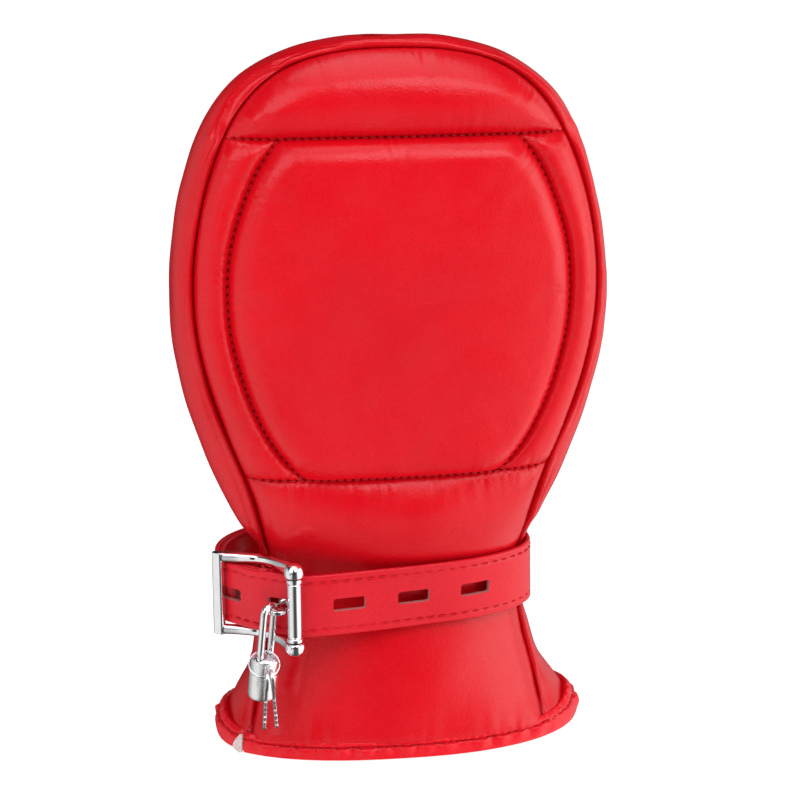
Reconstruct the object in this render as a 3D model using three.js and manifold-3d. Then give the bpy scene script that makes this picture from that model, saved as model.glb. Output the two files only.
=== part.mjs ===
// Padded leatherette mitt with a lockable wrist strap, as a scene graph of its separate pieces.
// Millimetres, +Z up. The cuff stands on z = 0, the front faces -Y and X runs across the mitt.
import * as THREE from "three";
import { mergeVertices } from "three/addons/utils/BufferGeometryUtils.js";
import Module from "manifold-3d";

const wasm = await Module();
wasm.setup();

// ---------------------------------------------------------------- driving dimensions

const GAP = 0.35; // air left between two pieces that touch
const SKIN = 1.2; // leatherette panel
const LINING = 0.9; // fabric of the inner bag
const GUSSET = 2.4; // side band with its thin backing
const HEM_HEIGHT = 7; // folded binding round the cuff
const HEM_THICKNESS = 4.2;
const CUFF_OFFSET = 3; // the flared cuff sits a little to the right of the paddle
// The keys reach further forward than the cuff. The mitt stands this far behind the origin,
// which is in the middle of the whole depth.
const SET_BACK = 4.7;

const STRAP_WIDTH = 25;
const STRAP_HEIGHT = 65.4; // height of the strap's centre line
const LEATHER = 2; // strap thickness
const SLOT = { length: 13, height: 5 };
const SLOT_PITCH = 26.2;
const SLOT_PLAY = 1; // how far past the staple its slot is centred, towards the front

const BUCKLE = {
  x: -57.3, // centre bar, seen from above
  y: -26.8,
  turn: -41, // degrees from +X to the direction of the roller
  roller: 19, // centre bar to roller
  leftBar: -18, // centre bar to the plain bar
  rise: 2.9, // the roller stands this far out of the frame's plane
  dip: -4.5, // and the centre bar this far in
  leftRise: 1.2,
  inside: 26.2, // clear height between the side bars
  bar: 3, // side bar, across
  rail: 3.4, // side bar, through
  pin: 1.5, // centre bar radius
};

const ROLLER = { bore: 1.65, axle: 1.3, barrel: 2.9, collar: 3.2, collarWidth: 1.4 };
const KNOB = 3.2; // radius of the side bars' ends
const TONGUE = { eye: 3.25, height: 6, inner: -5.1, outer: -3.7, from: 1.5, to: 19.5 };
const STAPLE = { u: 11.1, legs: 3.7, strip: 1.7, height: 1.8, drop: -1.3, reach: 3.3 };
const FOLD_SLOT = { length: 14, height: 8.4, u: 1.5 }; // lets the tongue through the fold

const LOCK = {
  wire: 1.3, // shackle radius
  legs: 7, // leg spacing
  u: 10, // place of the inner leg on the buckle
  w: 3.6,
  crown: 63.35, // height of the crown's centre
  top: 45.9, // top of the lock's body
  bottom: 28.1,
  radius: 5.7,
  edge: 1.1, // bevel of the body's edges
  lean: 7, // degrees that it hangs out of plumb
};

const PLUG = { radius: 2.45, length: 7, bore: 2.8, centre: 3.7 };
const KEYWAY = { width: 1.1, height: 3.4, depth: 3.5 };

const KEY_RING = { x: -57.2, y: -42.7, z: 44.6, radius: 6, wire: 0.45, lean: 53 };
const KEY = { bow: 3.9, hole: 1.7, length: 24, blade: 4, thickness: 1.2 };
// Where each key hangs, in degrees round the ring from its top, and how far it leans sideways.
const KEYS = [
  { name: "key_left", around: 177, tilt: 4 },
  { name: "key_right", around: 157, tilt: -4 },
];

const PATCH = { height: 22, thickness: 1.6 };
const RIVETS = { buckle: { x: -9, face: 36.8 }, tail: { x: 12, face: 36.4 } };
const RIVET_HOLE = 1.8;

// Half outline of the paddle, [x, z], from the cuff up to the middle of the top: the line of
// the front and back seams, and the outermost line of the side band that runs between them.
const SEAM = [
  [61.5, 7.4], [59, 15], [56.4, 27], [53.2, 40], [51.6, 50], [50, 65], [51.2, 79],
  [53.4, 89], [57.3, 104], [67.3, 131], [74, 152], [77.8, 172], [78.5, 190], [76.6, 208], [72.8, 225],
  [67, 241], [59.5, 254.5], [50, 264.5], [38, 271.5], [20, 275.8], [0, 276.8],
];
const SIDE = [
  [75.3, 7.4], [68, 15], [61, 27], [57, 40], [54.4, 50], [52.7, 65], [53.9, 79],
  [61.3, 89], [68.8, 104], [79, 132], [84, 153], [86.4, 172], [86.4, 190], [84, 209], [80, 226],
  [74.8, 242], [66.8, 256.5], [56.5, 266.8], [42.5, 274.6], [21, 279.9], [0, 280.8],
];
// Half depths against height: of the seam, of the panels on the centre line, of the hand space.
const SEAM_DEPTH = [[7, 23], [20, 16.5], [35, 12.5], [65, 10.5], [90, 14], [112, 18], [150, 21],
  [230, 21], [277, 16]];
const PANEL_DEPTH = [[7, 41], [20, 38.3], [38, 33.4], [51, 29.9], [65, 28.8], [79, 30], [96, 34.5],
  [113, 31.5], [150, 31.5], [200, 31.5], [244, 28.5], [262, 24], [277, 16.5]];
const HAND_DEPTH = [[7, 35], [20, 30.5], [40, 24.5], [66, 21.5], [90, 22], [113, 20.5],
  [200, 21], [240, 18], [262, 12.5], [272, 8]];
const FLATNESS = [[7, 2], [80, 2], [130, 3], [240, 3], [277, 2.4]];

const TOP_SEAM = 244.7;
const LOWER_SEAM = 113;
// Edge of the quilted centre pad, [half width, z].
const QUILT = [
  [38.5, 113], [43.5, 118.5], [50, 127], [57, 141], [62, 156], [65.4, 172], [66.2, 189],
  [64.4, 205], [59.8, 220], [54, 233], [46, 244.5],
];
const BULGE = { centre: 6.5, top: 6, strip: 3.5, cuff: 0.6 };

const RED = 0xd41222;
const DARK_RED = 0x8c1018;
const CHROME = 0xd4d6da;

// ---------------------------------------------------------------- curves

// A smooth function of height through [height, value] pairs.
function profile(points) {
  const curve = new THREE.CatmullRomCurve3(points.map(([z, v]) => new THREE.Vector3(z, v, 0)));
  return (z) => atHeight(curve, 0, 1, z, "x").y;
}

// The point of a curve where one coordinate, rising from t0 to t1, takes a value.
function atHeight(curve, t0, t1, value, coordinate) {
  let low = t0;
  let high = t1;
  for (let i = 0; i < 40; i++) {
    const middle = (low + high) / 2;
    if (curve.getPoint(middle)[coordinate] < value) low = middle;
    else high = middle;
  }
  return curve.getPoint((low + high) / 2);
}

// The cuff's sideways offset fades out at the neck.
function cuffShift(z) {
  return CUFF_OFFSET * Math.max(0, 1 - z / STRAP_HEIGHT) ** 1.5;
}

// The whole outline, up the left side and down the right one; t = 0.5 is the top.
function outline(half) {
  const right = half.map(([x, z]) => new THREE.Vector3(x, 0, z));
  const left = half.map(([x, z]) => new THREE.Vector3(-x, 0, z));
  return new THREE.CatmullRomCurve3([...left, ...right.reverse().slice(1)]);
}

const seamLine = outline(SEAM);
const sideLine = outline(SIDE);
const quiltLine = new THREE.CatmullRomCurve3(QUILT.map(([x, z]) => new THREE.Vector3(x, 0, z)));
const seamDepth = profile(SEAM_DEPTH);
const panelDepth = profile(PANEL_DEPTH);
const handDepth = profile(HAND_DEPTH);
const flatness = profile(FLATNESS);
const seamHalf = (z) => -atHeight(seamLine, 0, 0.5, z, "z").x;
const sideHalf = (z) => -atHeight(sideLine, 0, 0.5, z, "z").x;
const quiltHalf = (z) => atHeight(quiltLine, 0, 1, z, "z").x;

// Depth of a panel at the level of its seams.
function panelLevel(x, z) {
  const across = Math.min(1, Math.abs(x) / seamHalf(z));
  const edge = seamDepth(z);
  return edge + (panelDepth(z) - edge) * (1 - across ** flatness(z)) ** 0.6;
}

// Depth of the lining's outside at a place, and of what rests on it.
const LINING_INSET = 4.6;
function liningLevel(x, z) {
  const half = sideHalf(z) - LINING_INSET;
  const across = Math.min(1, Math.abs(x) / half);
  return handDepth(z) * (1 - across ** flatness(z)) ** (1 / flatness(z));
}

// ---------------------------------------------------------------- solids

function material(color, roughness, metalness = 0) {
  return new THREE.MeshStandardMaterial({ color, roughness, metalness });
}
const leather = () => material(RED, 0.42);
const foam = () => material(0xe6dfca, 0.9);
const chrome = () => material(CHROME, 0.12, 1);

const object = new THREE.Group();
object.position.y = SET_BACK;

function add(name, geometry, finish, parent = object) {
  const mesh = new THREE.Mesh(geometry, finish);
  mesh.name = name;
  parent.add(mesh);
  return mesh;
}

function indexed(points, faces) {
  const geometry = new THREE.BufferGeometry();
  geometry.setAttribute("position", new THREE.Float32BufferAttribute(points, 3));
  geometry.setIndex(faces);
  return geometry;
}

// A closed slab between two sheets, each given as place(u, v) for u and v from 0 to 1. The
// outer sheet's normal is along its u direction crossed with its v direction.
function slab(outer, inner, across, along) {
  const points = [];
  const faces = [];
  const row = across + 1;
  const sheet = row * (along + 1);
  for (const place of [outer, inner])
    for (let j = 0; j <= along; j++)
      for (let i = 0; i <= across; i++) points.push(...place(i / across, j / along));
  const at = (side, i, j) => side * sheet + j * row + i;
  const quad = (a, b, c, d) => faces.push(a, b, c, a, c, d);
  for (let j = 0; j < along; j++)
    for (let i = 0; i < across; i++) {
      quad(at(0, i, j), at(0, i + 1, j), at(0, i + 1, j + 1), at(0, i, j + 1));
      quad(at(1, i, j), at(1, i, j + 1), at(1, i + 1, j + 1), at(1, i + 1, j));
    }
  for (let i = 0; i < across; i++) {
    quad(at(1, i, 0), at(1, i + 1, 0), at(0, i + 1, 0), at(0, i, 0));
    quad(at(0, i, along), at(0, i + 1, along), at(1, i + 1, along), at(1, i, along));
  }
  for (let j = 0; j < along; j++) {
    quad(at(0, 0, j), at(0, 0, j + 1), at(1, 0, j + 1), at(1, 0, j));
    quad(at(1, across, j), at(1, across, j + 1), at(0, across, j + 1), at(0, across, j));
  }
  return indexed(points, faces);
}

// A closed loop of sections: place(i, j) for steps i round the loop and j round the section.
function loop(place, steps, section) {
  const points = [];
  const faces = [];
  for (let i = 0; i < steps; i++)
    for (let j = 0; j < section; j++) points.push(...place(i / steps, j));
  const at = (i, j) => (i % steps) * section + (j % section);
  for (let i = 0; i < steps; i++)
    for (let j = 0; j < section; j++)
      faces.push(
        at(i, j), at(i + 1, j), at(i + 1, j + 1), at(i, j), at(i + 1, j + 1), at(i, j + 1),
      );
  return indexed(points, faces);
}

function flipped(geometry) {
  const index = geometry.index.array;
  for (let i = 0; i < index.length; i += 3)
    [index[i + 1], index[i + 2]] = [index[i + 2], index[i + 1]];
  return geometry;
}

// Boolean work on closed geometries.
function solid(geometry) {
  const bare = geometry.index ? geometry.toNonIndexed() : geometry.clone();
  bare.deleteAttribute("normal");
  bare.deleteAttribute("uv");
  const merged = mergeVertices(bare, 1e-4);
  return new wasm.Manifold(
    new wasm.Mesh({
      numProp: 3,
      vertProperties: merged.attributes.position.array,
      triVerts: new Uint32Array(merged.index.array),
    }),
  );
}

function geometryOf(body) {
  const mesh = body.getMesh();
  return indexed(Array.from(mesh.vertProperties), Array.from(mesh.triVerts));
}

const joined = (...all) => geometryOf(all.map(solid).reduce((a, b) => a.add(b)));
const cut = (from, ...tools) =>
  geometryOf(tools.map(solid).reduce((a, b) => a.subtract(b), solid(from)));

// A plan outline, as [x, y] pairs, raised to a height that is centred on z = 0.
function raised(points, height, bevel = 0) {
  const shape = new THREE.Shape(points.map(([x, y]) => new THREE.Vector2(x, y)));
  const geometry = new THREE.ExtrudeGeometry(shape, {
    depth: height - 2 * bevel,
    bevelEnabled: bevel > 0,
    bevelThickness: bevel,
    bevelSize: bevel,
    bevelOffset: -bevel,
    bevelSegments: 1,
    curveSegments: 8,
  });
  return geometry.translate(0, 0, bevel - height / 2);
}

// The plan outline of a band of a given thickness that follows a line of points.
function band(points, thickness) {
  const left = [];
  const right = [];
  points.forEach((p, i) => {
    const a = points[Math.max(0, i - 1)];
    const b = points[Math.min(points.length - 1, i + 1)];
    const length = Math.hypot(b[0] - a[0], b[1] - a[1]);
    const nx = (-(b[1] - a[1]) / length) * (thickness / 2);
    const ny = ((b[0] - a[0]) / length) * (thickness / 2);
    left.push([p[0] + nx, p[1] + ny]);
    right.push([p[0] - nx, p[1] - ny]);
  });
  return [...left, ...right.reverse()];
}

function smooth(points, count) {
  const curve = new THREE.CatmullRomCurve3(points.map(([x, y]) => new THREE.Vector3(x, y, 0)));
  return curve.getSpacedPoints(count).map((p) => [p.x, p.y]);
}

function arc(cx, cy, radius, from, to, count) {
  return Array.from({ length: count + 1 }, (_, i) => {
    const angle = THREE.MathUtils.degToRad(from + ((to - from) * i) / count);
    return [cx + radius * Math.cos(angle), cy + radius * Math.sin(angle)];
  });
}

function rod(radius, length, sides = 16) {
  return new THREE.CylinderGeometry(radius, radius, length, sides).rotateX(Math.PI / 2);
}

// ---------------------------------------------------------------- padded panels

// Grid lines gather towards a panel's side edges, where it curves most.
const spread = (u) => (u + (1 - Math.cos(Math.PI * u)) / 2) / 2;

// Places between two edges, each given as edge(v) = [x, z].
const spanned = (left, right) => (u, v) => {
  const [x0, z0] = left(v);
  const [x1, z1] = right(v);
  return [x0 + (x1 - x0) * u, z0 + (z1 - z0) * u];
};

// One padded panel: a skin and the foam behind it. where(u, v) gives each place, u from left to
// right and v from low to high; side is -1 for the front and 1 for the back.
function paddedPanel(name, side, where, bulge, across, along) {
  const swell = (u, v) =>
    bulge * (1 - Math.abs(2 * u - 1) ** 6) ** 0.5 * (1 - Math.abs(2 * v - 1) ** 6) ** 0.5;
  const sheet = (depth) => (u, v) => {
    const gathered = spread(side < 0 ? u : 1 - u);
    const [x, z] = where(gathered, v);
    return [x + cuffShift(z), side * depth(x, z, swell(gathered, v)), z];
  };
  const skinOut = sheet((x, z, h) => panelLevel(x, z) + h);
  const skinIn = sheet((x, z, h) => panelLevel(x, z) + h - SKIN);
  const foamOut = sheet((x, z, h) => panelLevel(x, z) + h - SKIN - GAP);
  const foamIn = sheet((x, z) =>
    Math.min(liningLevel(x, z) + 4 * GAP, panelLevel(x, z) - 2 * SKIN - GAP));
  add(name + "_panel", slab(skinOut, skinIn, across, along), leather());
  add(name + "_foam", slab(foamOut, foamIn, across, along), foam());
}

const EDGE = 0.35; // half the gap between neighbouring panels

// The top pad lies between the straight seam below it and the arch of the outline above it.
function topPlaces() {
  const corner = TOP_SEAM + 2.6;
  let t0 = 0;
  while (seamLine.getPoint(t0).z < corner) t0 += 1e-3;
  const wide = seamHalf(TOP_SEAM + EDGE) - EDGE;
  const base = (u) => [wide * (2 * u - 1), TOP_SEAM + EDGE];
  const arch = (u) => {
    const p = seamLine.getPoint(t0 + (1 - 2 * t0) * u);
    return [p.x * 0.995, p.z - EDGE];
  };
  const upwards = spanned(base, arch);
  return (u, v) => upwards(v, u);
}

function panels(face, side) {
  const mix = (low, high) => (v) => low + EDGE + (high - low - 2 * EDGE) * v;
  const cuff = mix(HEM_HEIGHT + 0.6, LOWER_SEAM);
  const middle = mix(LOWER_SEAM, TOP_SEAM);
  const edge = (height, half, sign) => (v) => [sign * (half(height(v)) - EDGE), height(v)];
  const full = spanned(edge(cuff, seamHalf, -1), edge(cuff, seamHalf, 1));
  const centre = spanned(edge(middle, quiltHalf, -1), edge(middle, quiltHalf, 1));
  const outside = (sign) => edge(middle, seamHalf, sign);
  const inside = (sign) => (v) => [sign * (quiltHalf(middle(v)) + EDGE), middle(v)];
  paddedPanel(face + "_cuff", side, full, BULGE.cuff, 8, 8);
  paddedPanel(face + "_centre", side, centre, BULGE.centre, 6, 8);
  paddedPanel(face + "_left_strip", side, spanned(outside(-1), inside(-1)), BULGE.strip, 2, 8);
  paddedPanel(face + "_right_strip", side, spanned(inside(1), outside(1)), BULGE.strip, 2, 8);
  paddedPanel(face + "_top", side, topPlaces(), BULGE.top, 12, 4);
}

// ---------------------------------------------------------------- side band, lining and hem

// The side band: a bowed strip that runs from the cuff, over the top and back to the cuff.
function gusset() {
  const steps = 46;
  const place = (inset) => (u, v) => {
    const seam = seamLine.getPoint(u);
    const side = sideLine.getPoint(u);
    const out = side.clone().sub(seam);
    const reach = out.length();
    const angle = (v - 0.5) * Math.PI;
    const bow = Math.cos(angle) * (reach - inset);
    const depth = (seamDepth(seam.z) - inset) * Math.sin(angle);
    const p = seam.add(out.setLength(GAP + bow));
    return [p.x + cuffShift(p.z), depth, p.z];
  };
  return slab(place(0), place(GUSSET), steps, 8);
}

// The inner bag, open at the cuff and closed over the fingers.
function lining() {
  const rings = 15;
  const sides = 30;
  const low = HEM_HEIGHT + 1;
  const slack = 1.6;
  const high = SIDE[SIDE.length - 1][1] - LINING_INSET - slack;
  const ringAt = (k) => {
    const z = low + (high - low) * Math.sin((k / rings) * (Math.PI / 2)) ** 1.15;
    const half = sideHalf(z) - LINING_INSET - slack;
    return { z, half, depth: handDepth(Math.min(z, 272)) - slack };
  };
  const points = [];
  const faces = [];
  const place = (ring, j, inset, drop) => {
    const angle = (2 * Math.PI * j) / sides;
    const power = 2 / flatness(Math.min(276, Math.max(7, ring.z)));
    const c = Math.cos(angle);
    const s = Math.sin(angle);
    const x = Math.sign(c) * Math.abs(c) ** power * Math.max(0, ring.half - inset);
    const y = Math.sign(s) * Math.abs(s) ** power * Math.max(0, ring.depth - inset);
    points.push(x + cuffShift(ring.z), y, ring.z - drop);
  };
  for (const [inset, drop] of [[0, 0], [LINING, 1]]) {
    for (let k = 0; k < rings; k++)
      for (let j = 0; j < sides; j++) place(ringAt(k), j, inset, k ? drop : 0);
    points.push(0, 0, high - drop);
  }
  const sheet = rings * sides + 1;
  const at = (side, k, j) => side * sheet + k * sides + (j % sides);
  for (let j = 0; j < sides; j++) {
    for (let k = 0; k < rings - 1; k++) {
      faces.push(at(0, k, j), at(0, k, j + 1), at(0, k + 1, j + 1));
      faces.push(at(0, k, j), at(0, k + 1, j + 1), at(0, k + 1, j));
      faces.push(at(1, k, j), at(1, k + 1, j + 1), at(1, k, j + 1));
      faces.push(at(1, k, j), at(1, k + 1, j), at(1, k + 1, j + 1));
    }
    faces.push(at(0, rings - 1, j), at(0, rings - 1, j + 1), sheet - 1);
    faces.push(at(1, rings - 1, j + 1), at(1, rings - 1, j), 2 * sheet - 1);
    faces.push(at(1, 0, j), at(1, 0, j + 1), at(0, 0, j + 1));
    faces.push(at(1, 0, j), at(0, 0, j + 1), at(0, 0, j));
  }
  return indexed(points, faces);
}

// The folded binding round the mouth of the cuff. Its underside is flat.
function hemBinding() {
  const outerHalf = SIDE[0][0] + 0.9;
  const outerDepth = PANEL_DEPTH[0][1] + 0.9;
  const corner = 1.2;
  const section = [
    [0, corner], [0, HEM_HEIGHT - corner], [corner, HEM_HEIGHT],
    [HEM_THICKNESS - corner, HEM_HEIGHT], [HEM_THICKNESS, HEM_HEIGHT - corner],
    [HEM_THICKNESS, corner], [HEM_THICKNESS - corner, 0], [corner, 0],
  ];
  const place = (u, j) => {
    const angle = 2 * Math.PI * u;
    const [inset, z] = section[j];
    return [
      cuffShift(0) + (outerHalf - inset) * Math.cos(angle),
      (outerDepth - inset) * Math.sin(angle),
      z,
    ];
  };
  return loop(place, 48, section.length);
}

// ---------------------------------------------------------------- wrist strap

const toPlan = (u, w) => {
  const turn = THREE.MathUtils.degToRad(BUCKLE.turn);
  const c = Math.cos(turn);
  const s = Math.sin(turn);
  return [BUCKLE.x + u * c + w * s, BUCKLE.y + u * s - w * c];
};

// Centre line of the slotted strap, seen from above: from the back of the neck round the right
// side and the front, under the roller, over the centre bar, under the left bar and round the
// left side to its free end.
const TAIL_PATH = [
  [7, 33], [25, 30.4], [42.5, 23.2], [53, 12.3], [56.4, 0], [54, -11.8], [45.2, -21.2],
  [29.5, -28.6], [5, -33.6], [-18, -36.6], [-32, -38.1],
  toPlan(19, -1.9), toPlan(9, -0.5), toPlan(0, 0.75), toPlan(-9, -0.6), toPlan(-18, -2.5),
  [-70.9, -3], [-69.6, 8.5], [-63.4, 20.5], [-53, 30], [-40, 35.8], [-27, 37.6],
];
const tailLine = smooth(TAIL_PATH, 120);

// A stretch of the tail's line, moved towards the wrist.
function inwards(from, to, distance) {
  return tailLine.slice(from, to).map((p, i) => {
    const a = tailLine[from + i - 1];
    const b = tailLine[Math.min(tailLine.length - 1, from + i + 1)];
    const length = Math.hypot(b[0] - a[0], b[1] - a[1]);
    return [p[0] + ((b[1] - a[1]) / length) * distance, p[1] - ((b[0] - a[0]) / length) * distance];
  });
}

function nearest(point) {
  let best = 0;
  tailLine.forEach((p, i) => {
    const d = Math.hypot(p[0] - point[0], p[1] - point[1]);
    if (d < Math.hypot(tailLine[best][0] - point[0], tailLine[best][1] - point[1])) best = i;
  });
  return best;
}

function strapSlot(x, y, angle) {
  const { length, height } = SLOT;
  const shape = new THREE.BoxGeometry(length, 12, height);
  return shape.rotateZ(angle).translate(x, y, STRAP_HEIGHT);
}

// The slots are a pitch apart along the strap. One takes the staple; one lies beyond it, towards
// the free end, and three before it.
function tailStrap() {
  const blank = raised(band(tailLine, LEATHER), STRAP_WIDTH).translate(0, 0, STRAP_HEIGHT);
  const start = nearest(toPlan(STAPLE.u + SLOT_PLAY, -1));
  const slots = [-1, 0, 1, 2, 3].map((n) => {
    let walked = 0;
    let i = start;
    const direction = n < 0 ? 1 : -1;
    while (walked < Math.abs(n) * SLOT_PITCH - 0.5) {
      const j = i + direction;
      walked += Math.hypot(tailLine[j][0] - tailLine[i][0], tailLine[j][1] - tailLine[i][1]);
      i = j;
    }
    const a = tailLine[i - 1];
    const b = tailLine[i + 1];
    return strapSlot(tailLine[i][0], tailLine[i][1], Math.atan2(b[1] - a[1], b[0] - a[0]));
  });
  return cut(blank, ...slots, rivetHole(RIVETS.tail));
}

// The short strap holds the buckle: anchored at the back, it runs inside the tail, folds round
// the centre bar and is sewn back on itself. A slot in the fold lets the tongue through.
function buckleStrap() {
  const under = LEATHER + GAP;
  const bend = BUCKLE.pin + GAP + LEATHER / 2;
  const from = nearest(toPlan(-8, -0.5));
  const innerEnd = nearest(toPlan(-27, -3));
  const inner = inwards(from, innerEnd, 2 * under).reverse();
  const outer = inwards(from, tailLine.length - 3, under);
  const fold = arc(0, BUCKLE.dip, bend, 255, 465, 12).map(([u, w]) => toPlan(u, w));
  const line = [...inner, ...fold, ...outer, [-15, 33.8], [-5, 33.2]];
  const blank = raised(band(line, LEATHER), STRAP_WIDTH).translate(0, 0, STRAP_HEIGHT);
  const window = new THREE.BoxGeometry(FOLD_SLOT.length, 12, FOLD_SLOT.height)
    .rotateZ(THREE.MathUtils.degToRad(BUCKLE.turn))
    .translate(...toPlan(FOLD_SLOT.u, BUCKLE.dip), STRAP_HEIGHT);
  return cut(blank, window, rivetHole(RIVETS.buckle));
}

// The straps' ends are riveted under a patch at the back of the neck.
function rivetHole({ x }) {
  return new THREE.CylinderGeometry(RIVET_HOLE, RIVET_HOLE, 12, 12).translate(x, 34, STRAP_HEIGHT);
}

function strapPatch() {
  const line = smooth([[-15, 36], [-5, 35.6], [8, 35.4], [19, 34.6]], 8);
  const blank = raised(band(line, PATCH.thickness), PATCH.height).translate(0, 0, STRAP_HEIGHT);
  const holes = [RIVETS.buckle, RIVETS.tail].map(rivetHole);
  return cut(blank, ...holes);
}

function rivet(name, { x, face }) {
  const profilePoints = [[0, 0], [1.4, 0], [1.4, 4.2], [4, 4.2], [3.6, 5.2], [2, 5.9], [0, 6.1]];
  const shape = new THREE.LatheGeometry(profilePoints.map(([r, h]) => new THREE.Vector2(r, h)), 16);
  add(name, shape.translate(x, face - 4.2, STRAP_HEIGHT), chrome());
}

// ---------------------------------------------------------------- buckle, in its own frame

// u runs along the strap towards the roller, w out of the strap and z up its width.
const hardware = new THREE.Group();
hardware.position.set(BUCKLE.x, BUCKLE.y, STRAP_HEIGHT);
hardware.rotation.z = THREE.MathUtils.degToRad(BUCKLE.turn);
object.add(hardware);
// A point of the buckle's frame in the group's own x and y.
const onBuckle = (u, w) => [u, -w];

function buckleFrame() {
  const { roller, leftBar, rise, dip, leftRise, inside, bar, rail, pin } = BUCKLE;
  const archPoints = [
    onBuckle(leftBar - 1, leftRise), onBuckle(-9, -2.6), onBuckle(0, dip), onBuckle(10, -1.9),
    onBuckle(roller + 1, rise),
  ];
  const side = () => raised(band(smooth(archPoints, 16), rail), bar, 0.5);
  const lift = (inside + bar) / 2;
  const leftPost = raised(
    [onBuckle(leftBar - 2.4, leftRise + 1.5), onBuckle(leftBar + 2.4, leftRise + 1.5),
      onBuckle(leftBar + 2.4, leftRise - 1.5), onBuckle(leftBar - 2.4, leftRise - 1.5)],
    inside + 2 * bar, 0.6,
  );
  const centreBar = rod(pin, inside + bar).translate(...onBuckle(0, dip), 0);
  const axle = rod(ROLLER.axle, inside + bar).translate(...onBuckle(roller, rise), 0);
  const knob = (sign) =>
    new THREE.SphereGeometry(KNOB, 14, 10).translate(...onBuckle(roller, rise), sign * lift);
  const cheeks = [side().translate(0, 0, lift), side().translate(0, 0, -lift)];
  const body = joined(...cheeks, leftPost, centreBar, axle, knob(1), knob(-1));
  // Room for the roller: the knobs stop at the side bars' inner faces.
  const clear = new THREE.BoxGeometry(9, 9, inside + 0.02).translate(...onBuckle(roller, rise), 0);
  return geometryOf(solid(body).subtract(solid(clear)).add(solid(axle)));
}

function roller() {
  const half = BUCKLE.inside / 2 - GAP;
  const { bore, barrel, collar, collarWidth } = ROLLER;
  const points = [
    [bore, -half], [collar, -half], [collar, -half + collarWidth],
    [barrel, -half + collarWidth + 0.4], [barrel, half - collarWidth - 0.4],
    [collar, half - collarWidth], [collar, half], [bore, half], [bore, -half],
  ].map(([r, h]) => new THREE.Vector2(r, h));
  return new THREE.LatheGeometry(points, 20)
    .rotateX(Math.PI / 2)
    .translate(...onBuckle(BUCKLE.roller, BUCKLE.rise), 0);
}

// The tongue's eye turns on the centre bar, its plate lies under the tail, and the staple on
// it stands out through the tail's slot.
function tongue() {
  const { dip, pin } = BUCKLE;
  const eye = rod(TONGUE.eye, TONGUE.height).translate(...onBuckle(0, dip), 0);
  const bore = rod(pin + GAP, TONGUE.height + 2).translate(...onBuckle(0, dip), 0);
  const plate = raised(
    [onBuckle(TONGUE.from, TONGUE.outer), onBuckle(TONGUE.to, TONGUE.outer),
      onBuckle(TONGUE.to, TONGUE.inner), onBuckle(TONGUE.from, TONGUE.inner)].reverse(),
    TONGUE.height,
  );
  const { u, legs, strip, height, drop, reach } = STAPLE;
  const root = TONGUE.outer - 0.6;
  const line = [onBuckle(u + legs, root), onBuckle(u + legs, reach)];
  arc(0, 0, legs, 0, 180, 12).slice(1, -1).forEach(([a, b]) => line.push(onBuckle(u + a, reach + b)));
  line.push(onBuckle(u - legs, reach), onBuckle(u - legs, root));
  const staple = raised(band(line, strip), height).translate(0, 0, drop);
  return geometryOf(solid(joined(eye, plate, staple)).subtract(solid(bore)));
}

// ---------------------------------------------------------------- padlock and keys

// The padlock hangs from the staple, a little out of plumb about the outward direction.
const lockGroup = new THREE.Group();
const lockPivot = toPlan(LOCK.u, LOCK.w);
lockGroup.position.set(lockPivot[0], lockPivot[1], STRAP_HEIGHT + STAPLE.drop);
const outward = new THREE.Vector3(...toPlan(0, 1), 0).sub(new THREE.Vector3(...toPlan(0, 0), 0));
lockGroup.setRotationFromAxisAngle(outward, THREE.MathUtils.degToRad(-LOCK.lean));
const lockFrame = new THREE.Group();
lockFrame.rotation.z = hardware.rotation.z;
lockGroup.add(lockFrame);
object.add(lockGroup);
// In the lock's frame x runs along the strap, -y outward and z = 0 is the staple's height.
const level = (z) => z - (STRAP_HEIGHT + STAPLE.drop);

function shackle() {
  const half = LOCK.legs / 2;
  const crown = level(LOCK.crown);
  const points = [new THREE.Vector3(0, 0, level(LOCK.top) - 3.4), new THREE.Vector3(0, 0, crown)];
  for (let i = 1; i < 10; i++) {
    const angle = (Math.PI * i) / 10;
    points.push(new THREE.Vector3(0, -half + half * Math.cos(angle), crown + half * Math.sin(angle)));
  }
  points.push(new THREE.Vector3(0, -LOCK.legs, crown));
  points.push(new THREE.Vector3(0, -LOCK.legs, level(LOCK.top) - 8));
  return wire(points, LOCK.wire, 12);
}

// A round wire along a line of points, closed at both ends.
function wire(points, radius, sides) {
  const vertices = [];
  const faces = [];
  const up = new THREE.Vector3(1, 0, 0);
  points.forEach((p, i) => {
    const a = points[Math.max(0, i - 1)];
    const b = points[Math.min(points.length - 1, i + 1)];
    const along = b.clone().sub(a).normalize();
    const across = along.clone().cross(up).normalize();
    for (let j = 0; j < sides; j++) {
      const angle = (2 * Math.PI * j) / sides;
      const q = p.clone().addScaledVector(up, radius * Math.cos(angle));
      q.addScaledVector(across, radius * Math.sin(angle));
      vertices.push(q.x, q.y, q.z);
    }
  });
  const at = (i, j) => i * sides + (j % sides);
  for (let i = 0; i < points.length - 1; i++)
    for (let j = 0; j < sides; j++) {
      faces.push(at(i, j), at(i + 1, j + 1), at(i + 1, j));
      faces.push(at(i, j), at(i, j + 1), at(i + 1, j + 1));
    }
  const last = points.length - 1;
  for (let j = 1; j < sides - 1; j++) {
    faces.push(at(0, 0), at(0, j + 1), at(0, j));
    faces.push(at(last, 0), at(last, j), at(last, j + 1));
  }
  return indexed(vertices, faces);
}

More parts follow.
